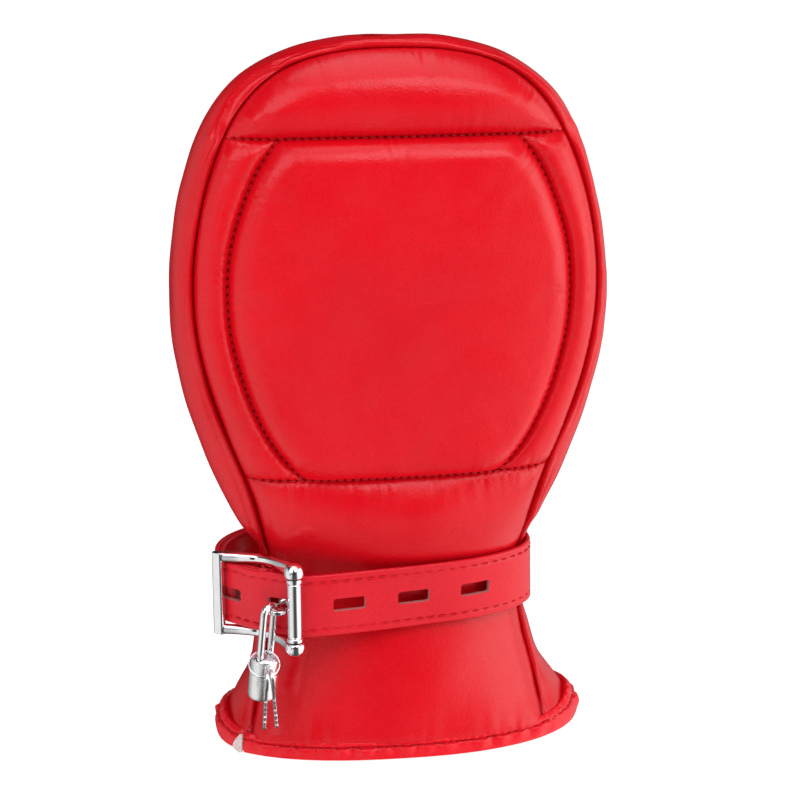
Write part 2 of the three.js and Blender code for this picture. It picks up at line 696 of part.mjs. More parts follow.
function lockBody() {
  const { radius, top, bottom, legs, edge } = LOCK;
  const points = [
    [0, level(bottom)], [radius - edge, level(bottom)], [radius, level(bottom) + edge],
    [radius, level(top) - edge], [radius - edge, level(top)], [0, level(top)],
  ].map(([r, h]) => new THREE.Vector2(r, h));
  const barrel = new THREE.LatheGeometry(points, 24).rotateX(Math.PI / 2).translate(0, -legs / 2, 0);
  const hole = (y, depth) => rod(LOCK.wire + GAP, depth * 2, 12).translate(0, y, level(top));
  const keyBore = rod(PLUG.bore, 15).translate(0, -legs / 2, level(bottom));
  return cut(barrel, hole(0, 4.4), hole(-legs, 9), keyBore);
}

function lockPlug() {
  const y = -LOCK.legs / 2;
  const bottom = level(LOCK.bottom);
  const plug = rod(PLUG.radius, PLUG.length).translate(0, y, bottom + PLUG.centre);
  const keyway = new THREE.BoxGeometry(KEYWAY.width, KEYWAY.height, 2 * KEYWAY.depth);
  return cut(plug, keyway.translate(0, y, bottom));
}

// A small flat key. It hangs from the hole in its bow, which is at the origin.
function key() {
  const { bow, hole, length, blade, thickness } = KEY;
  const centre = -(bow - hole - 0.9);
  const end = -(length - hole - 0.9);
  const teeth = [[0, 7.2], [0.7, 5.8], [0, 4.4], [0.9, 3], [0, 1.6]];
  const outlinePoints = [
    ...arc(0, centre, bow, -62, 242, 18),
    ...teeth.map(([deep, up]) => [deep - blade / 2, end + up]),
    [-blade / 4, end], [blade / 4, end], [blade / 2, end + 1.6],
  ];
  return cut(raised(outlinePoints, thickness), rod(hole, 6, 12));
}

// ---------------------------------------------------------------- the whole mitt

panels("front", -1);
panels("back", 1);
add("gusset", gusset(), leather());
add("lining", lining(), material(DARK_RED, 0.85));
add("hem_binding", hemBinding(), leather());
add("tail_strap", tailStrap(), leather());
add("buckle_strap", buckleStrap(), leather());
add("strap_patch", strapPatch(), leather());
rivet("rivet_buckle_strap", RIVETS.buckle);
rivet("rivet_tail_strap", RIVETS.tail);
add("buckle_frame", buckleFrame(), chrome(), hardware);
add("buckle_roller", roller(), chrome(), hardware);
add("buckle_tongue", tongue(), chrome(), hardware);
add("padlock_shackle", shackle(), chrome(), lockFrame);
add("padlock_body", lockBody(), chrome(), lockFrame);
add("padlock_plug", lockPlug(), chrome(), lockFrame);

const ring = add(
  "key_ring", new THREE.TorusGeometry(KEY_RING.radius, KEY_RING.wire, 6, 28), chrome(),
);
ring.position.set(KEY_RING.x, KEY_RING.y, KEY_RING.z);
ring.rotation.x = THREE.MathUtils.degToRad(90 - KEY_RING.lean);

for (const { name, around, tilt } of KEYS) {
  const angle = THREE.MathUtils.degToRad(90 - around);
  const point = new THREE.Vector3(Math.cos(angle), Math.sin(angle), 0)
    .multiplyScalar(KEY_RING.radius)
    .applyEuler(ring.rotation)
    .add(ring.position);
  const mesh = add(name, key(), chrome());
  mesh.geometry.rotateX(Math.PI / 2).rotateZ(Math.PI / 2);
  mesh.rotation.y = THREE.MathUtils.degToRad(tilt);
  mesh.position.copy(point);
}

export default object;
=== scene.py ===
"""Padded leatherette mitt with a buckled, padlocked wrist strap: its looks, built round the CAD frame.

Shapes are worked out in millimetres in the mitt's own frame: x across, y to the back, z up.
"""

import math

import bmesh
import bpy
import numpy as np
from mathutils import Matrix, Quaternion, Vector


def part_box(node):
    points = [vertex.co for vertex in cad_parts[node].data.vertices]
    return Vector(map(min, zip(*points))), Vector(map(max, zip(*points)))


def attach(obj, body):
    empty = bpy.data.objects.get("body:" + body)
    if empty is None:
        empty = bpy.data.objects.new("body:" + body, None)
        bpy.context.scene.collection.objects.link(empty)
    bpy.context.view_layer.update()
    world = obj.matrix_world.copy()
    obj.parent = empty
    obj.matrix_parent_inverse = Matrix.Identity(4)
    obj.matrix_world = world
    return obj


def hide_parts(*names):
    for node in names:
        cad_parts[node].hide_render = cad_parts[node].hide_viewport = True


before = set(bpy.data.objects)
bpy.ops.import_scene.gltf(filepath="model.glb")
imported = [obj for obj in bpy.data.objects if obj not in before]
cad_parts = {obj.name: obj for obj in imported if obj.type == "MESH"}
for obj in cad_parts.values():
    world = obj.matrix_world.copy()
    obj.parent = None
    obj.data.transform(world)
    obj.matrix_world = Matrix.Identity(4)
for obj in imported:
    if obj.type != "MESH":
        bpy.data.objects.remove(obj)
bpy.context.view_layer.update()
MM = 0.001


def middle(node, axis):
    """Middle of a CAD node's box along an axis, in millimetres."""
    low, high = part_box(node)
    return (low[axis] + high[axis]) / 2 / MM


# ------------------------------------------------------------------ driving sizes, in millimetres

SET_BACK = middle("gusset", 1)  # the shapes are drawn round y = 0, and this moves them to the CAD's
STRAP_HEIGHT = middle("tail_strap", 2)
GAP = 0.35  # clearance between parts that touch or turn
EDGE = 0.06  # half the gap between neighbouring pads
GROOVE = 1.5  # how far a seam lies below the level of the pads' seams
STRAP_PRESS = 2.4  # how far the strap presses the pads in
PUFF_CAP = 3.5  # the furthest that the cloth may swell
FOAM_GIVE = 0.3  # share of the cloth's swelling that the foam behind it lets through
SIM_STEP = 5  # fine cells to one cell of the simulated cloth
SIM_FRAMES = 20

HEM_HEIGHT = 7
HEM_HALF, HEM_DEPTH = 75.6, 41.9
HEM_FULLNESS = 2.35  # 2 is an ellipse
HEM_RISE = 0.5  # how much taller the binding is at the two sides
HEM_JOINT = math.radians(217)  # where the binding's end laps over its start
CUFF_OFFSET = 3
CUFF_SLIDE = math.radians(4.5)  # how far the cuff's seams are slid round its outline, to the left
CUFF_TOP = 50  # the height where that slide ends
NECK_TUCK = 3.2  # how far the neck's right front is tucked in

STRAP_WIDTH = 25
LEATHER = 2
SLOT = (13, 5.0)  # length and height
SLOT_PITCH = 26.2
SLOT_PLAY = 1  # how far past the staple its slot is centred
FOLD_SLOT = (22, 8.4)  # the slot in the fold, which the tongue comes through
STRAP_ROW, PATCH_ROW = 9.5, 8.6  # heights of the rows of stitches from the strap's middle

# Stitches: their pitch, length and thickness.
QUILT_STITCH, QUILT_THREAD = 3.1, (2.1, 0.3)
STRAP_STITCH, STRAP_THREAD = 4.8, (3.0, 0.3)
HEM_STITCH, HEM_THREAD = 3.3, (2.2, 0.26)

# The buckle: its centre and turn, then u along it and w out of it from the centre bar's middle.
BUCKLE_X, BUCKLE_Y, BUCKLE_TURN = -57.3, -26.8, math.radians(-41)
ROLLER_U, ROLLER_W = 19, 2.9
ROLLER_BARREL, ROLLER_COLLAR, ROLLER_GROOVE, ROLLER_BORE, AXLE = 2.8, 3.15, 2.6, 1.65, 1.3
LEFT_BAR_U, LEFT_BAR_W = -18, 1.2
DIP = -4.5  # w of the centre bar
INSIDE = 26.2  # between the side bars
SIDE_BAR, RAIL = 3.9, 4.0  # a side bar's height, and its depth
PIN = 1.5
STAPLE_U, STAPLE_LEGS, STAPLE_DROP, STAPLE_REACH = 11.1, 3.7, -1.3, 3.3
STAPLE_BAR = (1.7, 1.8)

# The padlock, which leans in the staple, then the key ring's centre and the keys.
LOCK_U, LOCK_W, LOCK_LEAN = 10, 3.6, math.radians(-7)
LOCK_WIRE, LOCK_LEGS, LOCK_CROWN = 1.45, 7, 63.35
LOCK_TOP, LOCK_BOTTOM, LOCK_RADIUS = 45.9, 28.1, 5.7
RING = (-57.2, -42.7, 44.6)
RING_RADIUS, RING_LEAN = 6, math.radians(53)
KEY_BOW, KEY_HOLE, KEY_LENGTH, KEY_BLADE, KEY_THICKNESS = 3.9, 1.7, 24, 4, 1.2

# Half outlines from the cuff to the middle of the top, [x, z]: the seam lines, and the side band.
SEAM = [
    (61.5, 5.6), (59, 15), (56.4, 27), (53.2, 40), (51.6, 50), (50, 65), (51.2, 79),
    (53.4, 89), (57.3, 104), (67.3, 131), (74, 152), (77.8, 172), (78.5, 190), (76.6, 208),
    (72.8, 225), (67, 241), (59.5, 254.5), (50, 264.5), (38, 271.5), (20, 275.8), (0, 276.8),
]
SIDE = [
    (72.8, 5.6), (67.2, 15), (60.2, 27), (57, 40), (54.4, 50), (52.7, 65), (53.9, 79),
    (61.3, 89), (68.8, 104), (79, 132), (84, 153), (86.4, 172), (86.4, 190), (84, 209),
    (80, 226), (74.8, 242), (66.8, 256.5), (56.5, 266.8), (42.5, 274.6), (21, 279.9), (0, 280.8),
]
# Half depths at heights: the front and back seams, the pads' middle, and the hand space.
SEAM_DEPTH = [(7, 26), (20, 17.5), (35, 12.5), (65, 10.5), (90, 14), (112, 18), (150, 21),
              (230, 21), (277, 16)]
PANEL_DEPTH = [(7, 41), (20, 38.3), (38, 33.4), (51, 29.9), (65, 28.8), (79, 30), (96, 34.5),
               (113, 31.5), (150, 31.5), (200, 31.5), (244, 28.5), (262, 24), (277, 16.5)]
HAND_DEPTH = [(7, 35), (20, 30.5), (40, 24.5), (66, 21.5), (90, 22), (113, 20.5),
              (200, 21), (240, 18), (262, 12.5), (272, 8)]
# How square the mitt's section is at heights: 2 is an ellipse.
FLATNESS = [(7, 2), (80, 2), (130, 3), (240, 3), (277, 2.4)]
TOP_SEAM, LOWER_SEAM = 244.7, 113  # heights of the two quilted seams that run across
FOLD = (TOP_SEAM - 1, 269.8)  # heights between which the front left roll is pulled straight
FOLD_REACH = 3.9
QUILT = [(38.5, 113), (43.5, 118.5), (50, 127), (57, 141), (62, 156), (65.4, 172), (66.2, 189),
         (64.4, 205), (59.8, 220), (54, 233), (46, 244.5)]
LINING_INSET = 4.6

CAMERA_TURN, CAMERA_RISE, CAMERA_ROLL = (math.radians(a) for a in (-10, 14, -0.3))
CAMERA_DISTANCE, CAMERA_LENS = 0.8, 90  # metres, and the focal length


# ------------------------------------------------------------------ curves and levels

def catmull(points, t):
    """Centripetal Catmull-Rom curve through points, at t from 0 to 1."""
    p = np.asarray(points, float)
    p = np.vstack([2 * p[0] - p[1], p, 2 * p[-1] - p[-2]])
    spans = len(p) - 3
    at = np.clip(np.asarray(t, float), 0, 1) * spans
    i = np.minimum(at.astype(int), spans - 1)
    w = (at - i)[..., None]
    p0, p1, p2, p3 = (p[i + k] for k in range(4))

    def step(a, b):
        return np.maximum(np.linalg.norm(b - a, axis=-1, keepdims=True), 1e-9) ** 0.5

    d0, d1, d2 = step(p0, p1), step(p1, p2), step(p2, p3)
    m1 = ((p1 - p0) / d0 - (p2 - p0) / (d0 + d1) + (p2 - p1) / d1) * d1
    m2 = ((p2 - p1) / d1 - (p3 - p1) / (d1 + d2) + (p3 - p2) / d2) * d1
    return p1 + m1 * w + (3 * (p2 - p1) - 2 * m1 - m2) * w**2 + (2 * (p1 - p2) + m1 + m2) * w**3


def lengths_along(line):
    """The distance along a line at each of its points."""
    return np.concatenate([[0], np.cumsum(np.linalg.norm(np.diff(line, axis=0), axis=1))])


def unit(vectors):
    return vectors / np.linalg.norm(vectors, axis=-1, keepdims=True)


def peak(x, at, width, power=2):
    """A smooth bump whose height is 1."""
    return np.exp(-(((x - at) / width) ** power))


def rise_beside(near, reach):
    """0 at a seam and 1 at a distance from it, then fading out."""
    return (near / reach) * np.exp(1 - near / reach)


def pulls(along, pitch):
    """1 at each stitch of a row and 0 between them."""
    return (0.5 + 0.5 * np.cos(2 * math.pi * along / pitch)) ** 2


DENSE = np.linspace(0, 1, 4001)


def profile(points):
    """A smooth function of height through (height, value) pairs."""
    dense = catmull(points, DENSE)
    return lambda z: np.interp(z, dense[:, 0], dense[:, 1])


def outline(half):
    """The whole outline, up the left side and down the right one."""
    left = [(-x, z) for x, z in half]
    return left + [(x, z) for x, z in half[::-1]][1:]


def half_width(half):
    dense = catmull(outline(half), DENSE / 2)
    return lambda z: -np.interp(z, dense[:, 1], dense[:, 0])


seam_half, side_half = half_width(SEAM), half_width(SIDE)
quilt_dense = catmull(QUILT, DENSE)
seam_depth, panel_depth = profile(SEAM_DEPTH), profile(PANEL_DEPTH)
hand_depth, flatness = profile(HAND_DEPTH), profile(FLATNESS)


def quilt_half(z):
    return np.interp(z, quilt_dense[:, 1], quilt_dense[:, 0])


def cuff_shift(z):
    """The cuff's sideways offset, which fades out at the neck."""
    return CUFF_OFFSET * np.maximum(0, 1 - z / STRAP_HEIGHT) ** 1.5


def flared(sheet):
    """Moves points, given as [..., 3], with the cuff: sideways, and a little way round its
    outline. The right front of the neck is tucked in."""
    x, y, z = np.moveaxis(np.asarray(sheet, float), -1, 0)
    turn = CUFF_SLIDE * np.clip(1 - z / CUFF_TOP, 0, 1) ** 1.2
    c, s = np.cos(turn), np.sin(turn)
    long = side_half(z) / panel_depth(z)
    tuck = NECK_TUCK * np.clip(-y / 26, 0, 1) * np.clip(x / 45, 0, 1) * peak(z, 34, 42, 4)
    return np.stack([x * c + y * s * long + cuff_shift(z) - tuck, y * c - x * s / long, z], -1)


def panel_level(x, z):
    """Depth of a pad at the level of its seams."""
    across = np.minimum(1, np.abs(x) / seam_half(z))
    edge = seam_depth(z)
    return edge + (panel_depth(z) - edge) * (1 - across ** flatness(z)) ** 0.6


def lining_level(x, z):
    across = np.minimum(1, np.abs(x) / (side_half(z) - LINING_INSET))
    return hand_depth(z) * (1 - across ** flatness(z)) ** (1 / flatness(z))


def waves(seed, lengths, count=7):
    """Smooth noise along a line: a sum of sines whose wavelengths are between two lengths."""
    draw = np.random.default_rng(seed)
    long = draw.uniform(*lengths, count)
    phase = draw.uniform(0, 2 * math.pi, count)
    size = draw.uniform(0.5, 1, count)
    size /= np.sqrt((size**2).sum() / 2)

    def at(s):
        s = np.asarray(s, float)[..., None]
        return (size * np.sin(2 * math.pi * s / long + phase)).sum(-1)

    return at


def swells(seed, lengths, count=9):
    """The same over a plane."""
    draw = np.random.default_rng(seed)
    turn = draw.uniform(0, 2 * math.pi, count)
    k = 2 * math.pi / draw.uniform(*lengths, count)
    phase = draw.uniform(0, 2 * math.pi, count)

    def at(x, z):
        along = x[..., None] * np.cos(turn) + z[..., None] * np.sin(turn)
        return np.sin(k * along + phase).sum(-1) * math.sqrt(2 / count)

    return at


# ------------------------------------------------------------------ meshes

def assign(target, **values):
    for key, value in values.items():
        setattr(target, key, value)


def linked(name, data):
    """A new object in the scene."""
    made = bpy.data.objects.new(name, data)
    bpy.context.scene.collection.objects.link(made)
    return made


def new_mesh(name, points, faces, material, body="mitt", slot=None, sharp=50):
    """A piece from points in millimetres, in the frame before the set-back."""
    points = (np.asarray(points, float).reshape(-1, 3) + [0, SET_BACK, 0]) * MM
    mesh = bpy.data.meshes.new(name)
    mesh.from_pydata(points.tolist(), [], faces)
    mesh.validate()
    return finish_piece(linked(name, mesh), material, body, sharp)


def finish_piece(piece, material, body, sharp, outward=True):
    """Smooth faces, a material, and the body that the piece belongs to."""
    mesh = piece.data
    if outward:
        work = bmesh.new()
        work.from_mesh(mesh)
        bmesh.ops.recalc_face_normals(work, faces=work.faces)
        work.to_mesh(mesh)
        work.free()
    mesh.polygons.foreach_set("use_smooth", [True] * len(mesh.polygons))
    mesh.set_sharp_from_angle(angle=math.radians(sharp))
    if material and not mesh.materials:
        mesh.materials.append(material)
    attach(piece, body)
    return piece


def grid_faces(rows, columns, start=0):
    """Quads of a grid of rows x columns points."""
    r, c = np.arange(rows - 1)[:, None], np.arange(columns - 1)[None, :]
    a, b = start + r * columns + c, start + (r + 1) * columns + c
    return np.stack([a, a + 1, b + 1, b], -1).reshape(-1, 4).tolist()


def slab(outer, inner):
    """A closed slab from a fine outer grid and an inner one with a quarter of its lines."""
    rows, columns = outer.shape[:2]
    small_rows, small_columns = inner.shape[:2]
    offset = rows * columns
    faces = grid_faces(rows, columns) + grid_faces(small_rows, small_columns, offset)

    def wall(fine, coarse):
        for k in range(len(coarse) - 1):
            f, (a, b) = fine[4 * k:4 * k + 5], coarse[k:k + 2]
            faces.extend([[f[0], f[1], a], [f[1], f[2], a], [a, f[2], b],
                          [f[2], f[3], b], [f[3], f[4], b]])

    index = np.arange(offset).reshape(rows, columns)
    small = offset + np.arange(small_rows * small_columns).reshape(small_rows, small_columns)
    for fine, coarse in ((index[0], small[0]), (index[-1], small[-1]),
                         (index[:, 0], small[:, 0]), (index[:, -1], small[:, -1])):
        wall(fine.tolist(), coarse.tolist())
    return np.vstack([outer.reshape(-1, 3), inner.reshape(-1, 3)]), faces


def tube(rings, closed=False):
    """Points and faces of a tube through rings of points. An open tube gets flat ends."""
    rings = np.asarray(rings, float)
    count, sides = rings.shape[:2]
    faces = []
    for i in range(count if closed else count - 1):
        a, b = i * sides, ((i + 1) % count) * sides
        for j in range(sides):
            k = (j + 1) % sides
            faces.append([a + j, a + k, b + k, b + j])
    if not closed:
        faces.append(list(range(sides))[::-1])
        faces.append(list(range((count - 1) * sides, count * sides)))
    return rings.reshape(-1, 3), faces


def wire_rings(path, radius, sides, up=(0, 0, 1)):
    """Round rings along a path of 3-D points."""
    path = np.asarray(path, float)
    along = unit(np.gradient(path, axis=0))
    side = unit(np.cross(along, np.asarray(up, float)))
    other = np.cross(side, along)
    angle = np.linspace(0, 2 * math.pi, sides, endpoint=False)[None, :, None]
    radius = np.broadcast_to(np.asarray(radius, float), len(path))[:, None, None]
    return path[:, None] + radius * (np.cos(angle) * side[:, None] + np.sin(angle) * other[:, None])


def lathe(points, segments=72):
    """A closed solid of revolution about z from (radius, height) pairs, which start and end on
    the axis or close on themselves."""
    points = np.asarray(points, float)
    on_axis = points[0, 0] == 0 and points[-1, 0] == 0
    ring = points[1:-1] if on_axis else points[:-1]
    angle = np.linspace(0, 2 * math.pi, segments, endpoint=False)
    rings = np.stack([ring[:, None, 0] * np.cos(angle), ring[:, None, 0] * np.sin(angle),
                      np.broadcast_to(ring[:, None, 1], (len(ring), segments))], -1)
    vertices, faces = tube(rings, closed=not on_axis)
    if on_axis:
        faces = faces[:-2]
        last = (len(ring) - 1) * segments
        vertices = np.vstack([vertices, [0, 0, points[0, 1]], [0, 0, points[-1, 1]]])
        low, high = len(vertices) - 2, len(vertices) - 1
        for j in range(segments):
            k = (j + 1) % segments
            faces.append([low, k, j])
            faces.append([high, last + j, last + k])
    return vertices, faces


def rounded(points, radius, steps=4):
    """A closed outline with its corners rounded."""
    points = np.asarray(points, float)
    made = []
    for i, corner in enumerate(points):
        before, after = points[i - 1] - corner, points[(i + 1) % len(points)] - corner
        a = corner + before / np.linalg.norm(before) * radius
        b = corner + after / np.linalg.norm(after) * radius
        for t in np.linspace(0, 1, steps + 1):
            made.append((1 - t) ** 2 * a + 2 * t * (1 - t) * corner + t**2 * b)
    return np.array(made)


def rounded_box(width, depth, radius, steps=4):
    w, d = width / 2, depth / 2
    return rounded([(-w, -d), (w, -d), (w, d), (-w, d)], radius, steps)


def carried(line, normal, offset, height):
    """Rings of points from a plan line, offsets along its normals, and heights."""
    flat = line[:, None] + normal[:, None] * offset[..., None]
    return np.concatenate([flat, np.broadcast_to(height, flat.shape[:-1])[..., None]], -1)


def prism(shape, low, high):
    """A closed outline in x and y, raised from one height to another."""
    shape = np.asarray(shape, float)
    rings = [np.column_stack([shape, np.full(len(shape), h)]) for h in (low, high)]
    return tube(rings)


def box_prism(width, depth, height, radius):
    """A box centred on the origin whose upright edges are rounded."""
    return prism(rounded_box(width, depth, radius), -height / 2, height / 2)


def moved(part, matrix):
    points, faces = part
    m = np.array(matrix, float)
    return np.asarray(points, float) @ m[:3, :3].T + m[:3, 3], faces


def together(*parts):
    points, faces, count = [], [], 0
    for p, f in parts:
        points.append(np.asarray(p, float).reshape(-1, 3))
        faces.extend([[i + count for i in face] for face in f])
        count += len(points[-1])
    return np.vstack(points), faces


def modified(piece, kind, **values):
    """Adds a modifier and applies it."""
    assign(piece.modifiers.new(kind.lower(), kind), **values)
    evaluated = piece.evaluated_get(bpy.context.evaluated_depsgraph_get())
    mesh = bpy.data.meshes.new_from_object(evaluated)
    piece.modifiers.clear()
    piece.data = mesh
    return piece


def cut_from(piece, part, material):
    """Cuts a closed part out of a piece. The cut faces take the part's material."""
    tool = new_mesh("tool", *part, material)
    tool.parent = None
    modified(piece, "BOOLEAN", object=tool, operation="DIFFERENCE", solver="EXACT",
             material_mode="TRANSFER")
    bpy.data.objects.remove(tool)
    return piece


def cast(name, part, material, body, voxel, smoothing):
    """One smooth casting from overlapping closed parts."""
    piece = new_mesh(name, *part, material)
    piece.parent = None
    modified(piece, "REMESH", mode="VOXEL", voxel_size=voxel * MM)
    modified(piece, "SMOOTH", factor=0.5, iterations=smoothing)
    piece.data.materials.clear()
    return finish_piece(piece, material, body, 180)


# ------------------------------------------------------------------ materials

def add_node(tree, kind, inputs=None, **settings):
    node = tree.nodes.new(kind)
    assign(node, **settings)
    for key, value in (inputs or {}).items():
        if isinstance(value, bpy.types.NodeSocket):
            tree.links.new(value, node.inputs[key])
        else:
            node.inputs[key].default_value = value
    return node


def surface(name, color, roughness, metallic=0.0, **sockets):
    """A material with its shader's plain sockets set. Returns it with its tree and shader."""
    material = bpy.data.materials.new(name)
    material.use_nodes = True
    tree = material.node_tree
    shader = tree.nodes["Principled BSDF"]
    shader.inputs["Base Color"].default_value = (*color, 1)
    shader.inputs["Roughness"].default_value = roughness
    shader.inputs["Metallic"].default_value = metallic
    for key, value in sockets.items():
        shader.inputs[key.replace("_", " ")].default_value = value
    return material, tree, shader


def place_socket(tree):
    return add_node(tree, "ShaderNodeTexCoord").outputs["Object"]


def noise_of(tree, place, scale, detail):
    node = add_node(tree, "ShaderNodeTexNoise", {"Vector": place, "Scale": scale, "Detail": detail})
    return node.outputs["Fac"]


def ramp_of(tree, value, stops):
    node = add_node(tree, "ShaderNodeValToRGB", {"Fac": value})
    ramp = node.color_ramp
    while len(ramp.elements) < len(stops):
        ramp.elements.new(0.5)
    for element, (position, color) in zip(ramp.elements, stops):
        element.position = position
        element.color = (*color, 1)
    return node.outputs["Color"]


def ranged(tree, value, low, high, from_low=0.3, from_high=0.7):
    """Maps a value from one range onto another, and stops at its ends."""
    inputs = {"Value": value, "From Min": from_low, "From Max": from_high,
              "To Min": low, "To Max": high}
    return add_node(tree, "ShaderNodeMapRange", inputs).outputs["Result"]


def math_of(tree, operation, a, b):
    return add_node(tree, "ShaderNodeMath", {0: a, 1: b}, operation=operation).outputs[0]


def wave_of(tree, place, scale, distortion, **settings):
    inputs = {"Vector": place, "Scale": scale, "Distortion": distortion}
    return add_node(tree, "ShaderNodeTexWave", inputs, **settings).outputs["Fac"]


def bumped(tree, height, distance, strength, below=None):
    inputs = {"Height": height, "Distance": distance, "Strength": strength}
    if below is not None:
        inputs["Normal"] = below
    return add_node(tree, "ShaderNodeBump", inputs).outputs["Normal"]


def shade(color, amount):
    return tuple(min(1, c * amount) for c in color)


def shades(tree, value, color, low, high):
    """A colour made darker or lighter by a value. Each end is a (position, amount) pair."""
    return ramp_of(tree, value, [(at, shade(color, amount)) for at, amount in (low, high)])


def leatherette(name, color, roughness, grain, depth):
    """Coated fabric: pebbled grain, faint stretch marks, and slow changes of colour and gloss.
    The crease attribute darkens the seams as painted shade."""
    material, tree, shader = surface(name, color, roughness, Specular_IOR_Level=0.31)
    place = place_socket(tree)
    warp = add_node(tree, "ShaderNodeTexNoise", {"Vector": place, "Scale": 260.0, "Detail": 1.0})
    shift = add_node(tree, "ShaderNodeVectorMath", {0: warp.outputs["Color"], 1: (0.0012,) * 3},
                     operation="MULTIPLY")
    bent = add_node(tree, "ShaderNodeVectorMath", {0: place, 1: shift.outputs[0]}, operation="ADD")
    cells = add_node(tree, "ShaderNodeTexVoronoi", {"Vector": bent.outputs[0], "Scale": grain},
                     feature="SMOOTH_F1")
    cells.inputs["Smoothness"].default_value = 0.45
    pores = noise_of(tree, place, grain * 2.4, 2.0)
    stretch = noise_of(tree, place, 150.0, 3.0)
    normal = bumped(tree, cells.outputs["Distance"], depth, 0.55)
    normal = bumped(tree, pores, depth * 0.4, 0.5, normal)
    normal = bumped(tree, stretch, 0.00028, 0.35, normal)
    tree.links.new(normal, shader.inputs["Normal"])
    patches = noise_of(tree, place, 16.0, 3.0)
    tint = shades(tree, patches, color, (0.3, 0.93), (0.7, 1.06))
    grains = ramp_of(tree, cells.outputs["Distance"],
                     [(0.2, (1, 1, 1)), (0.75, (0.91, 0.86, 0.86))])
    toned = add_node(tree, "ShaderNodeMix", {"Factor": 1.0, 6: tint, 7: grains},
                     data_type="RGBA", blend_type="MULTIPLY")
    # Painted shade: near a seam the colour is mixed towards a darker red.
    crease = add_node(tree, "ShaderNodeAttribute", attribute_name="crease").outputs["Fac"]
    deep = add_node(tree, "ShaderNodeMix", {"Factor": crease, 6: toned.outputs[2]},
                    data_type="RGBA")
    deep.inputs[7].default_value = (*shade(color, 0.8), 1)
    tree.links.new(deep.outputs[2], shader.inputs["Base Color"])
    gloss = ranged(tree, noise_of(tree, place, 60.0, 4.0), roughness - 0.05, roughness + 0.06)
    tree.links.new(gloss, shader.inputs["Roughness"])
    return material


def thread_material():
    """Twisted thread."""
    color = (0.52, 0.010, 0.018)
    material, tree, shader = surface("thread", color, 0.7, Specular_IOR_Level=0.15)
    place = place_socket(tree)
    ply = wave_of(tree, place, 900.0, 1.5, wave_type="BANDS", bands_direction="DIAGONAL")
    tint = shades(tree, ply, color, (0.2, 0.6), (0.8, 1.5))
    tree.links.new(tint, shader.inputs["Base Color"])
    tree.links.new(bumped(tree, ply, 0.00012, 0.7), shader.inputs["Normal"])
    return material


def raw_edge_material():
    """The knitted backing, with a fluffy cut edge."""
    color = (0.78, 0.66, 0.64)
    material, tree, shader = surface("raw edge", color, 0.9, Sheen_Weight=0.3)
    place = place_socket(tree)
    knit = wave_of(tree, place, 520.0, 3.0, bands_direction="Z")
    fluff = noise_of(tree, place, 1400.0, 3.0)
    tint = ramp_of(tree, fluff, [(0.25, shade(color, 0.62)), (0.6, color),
                                 (0.8, shade(color, 1.2))])
    tree.links.new(tint, shader.inputs["Base Color"])
    normal = bumped(tree, knit, 0.0001, 0.5)
    tree.links.new(bumped(tree, fluff, 0.00025, 0.7, normal), shader.inputs["Normal"])
    return material


def lining_material():
    """Plain weave in a deep red."""
    color = (0.30, 0.012, 0.022)
    material, tree, shader = surface("lining", color, 0.82, Sheen_Weight=0.35)
    place = place_socket(tree)
    weave = [wave_of(tree, place, 330.0, 0.6, bands_direction=direction) for direction in "XZ"]
    cloth = math_of(tree, "MULTIPLY", *weave)
    tint = shades(tree, cloth, color, (0.1, 0.55), (0.7, 1.25))
    tree.links.new(tint, shader.inputs["Base Color"])
    creases = noise_of(tree, place, 45.0, 4.0)
    normal = bumped(tree, creases, 0.0012, 0.5)
    tree.links.new(bumped(tree, cloth, 0.00025, 0.8, normal), shader.inputs["Normal"])
    return material


def polished(name, color, roughness, scratches, streak=(1, 1, 1)):
    """Plated metal: faint handling marks and slow ripples left by the casting."""
    material, tree, shader = surface(name, color, roughness, 1.0)
    place = place_socket(tree)
    long = add_node(tree, "ShaderNodeMapping", {"Vector": place, "Scale": streak}).outputs[0]
    marks = noise_of(tree, long, 1800.0, 5.0)
    ripples = noise_of(tree, place, 260.0, 2.0)
    tree.links.new(ranged(tree, marks, roughness * 0.7, roughness * 1.9), shader.inputs["Roughness"])
    tint = shades(tree, ripples, color, (0.3, 0.97), (0.7, 1.02))
    tree.links.new(tint, shader.inputs["Base Color"])
    normal = bumped(tree, ripples, 0.00004, 0.4)
    tree.links.new(bumped(tree, marks, scratches, 0.5, normal), shader.inputs["Normal"])
    return material


LEATHER_RED = leatherette("leatherette", (0.66, 0.0025, 0.0095), 0.26, 1150, 0.00009)
BINDING_RED = leatherette("binding", (0.76, 0.004, 0.014), 0.28, 1000, 0.00007)
STRAP_RED = leatherette("strap leather", (0.68, 0.006, 0.018), 0.30, 760, 0.00008)
RAW_SLOT = leatherette("slot edge", (0.50, 0.20, 0.19), 0.7, 1500, 0.00004)
THREAD = thread_material()
RAW_EDGE = raw_edge_material()
LINING_CLOTH = lining_material()
CHROME = polished("chrome", (0.95, 0.955, 0.965), 0.06, 0.00001)
LOCK_METAL = polished("lock metal", (0.97, 0.965, 0.955), 0.24, 0.00003)
PLUG_METAL = polished("plug brass", (0.72, 0.58, 0.34), 0.24, 0.00004)
KEY_METAL = polished("key metal", (0.80, 0.80, 0.81), 0.2, 0.00004, (8, 8, 1))


# ------------------------------------------------------------------ padded panels

def spread(t):
    """Grid lines gather towards the edges."""
    return (t + (1 - np.cos(math.pi * t)) / 2) / 2


def seam_field(x, z, line):
    """Distance from each place to a seam, and how far along the seam that is."""
    along = lengths_along(line)
    near, place = np.empty(x.shape), np.empty(x.shape)
    for row in range(len(x)):
        apart = (x[row][:, None] - line[:, 0]) ** 2 + (z[row][:, None] - line[:, 1]) ** 2
        best = apart.argmin(1)
        near[row] = np.sqrt(apart[np.arange(len(best)), best])
        place[row] = along[best]
    return near, place


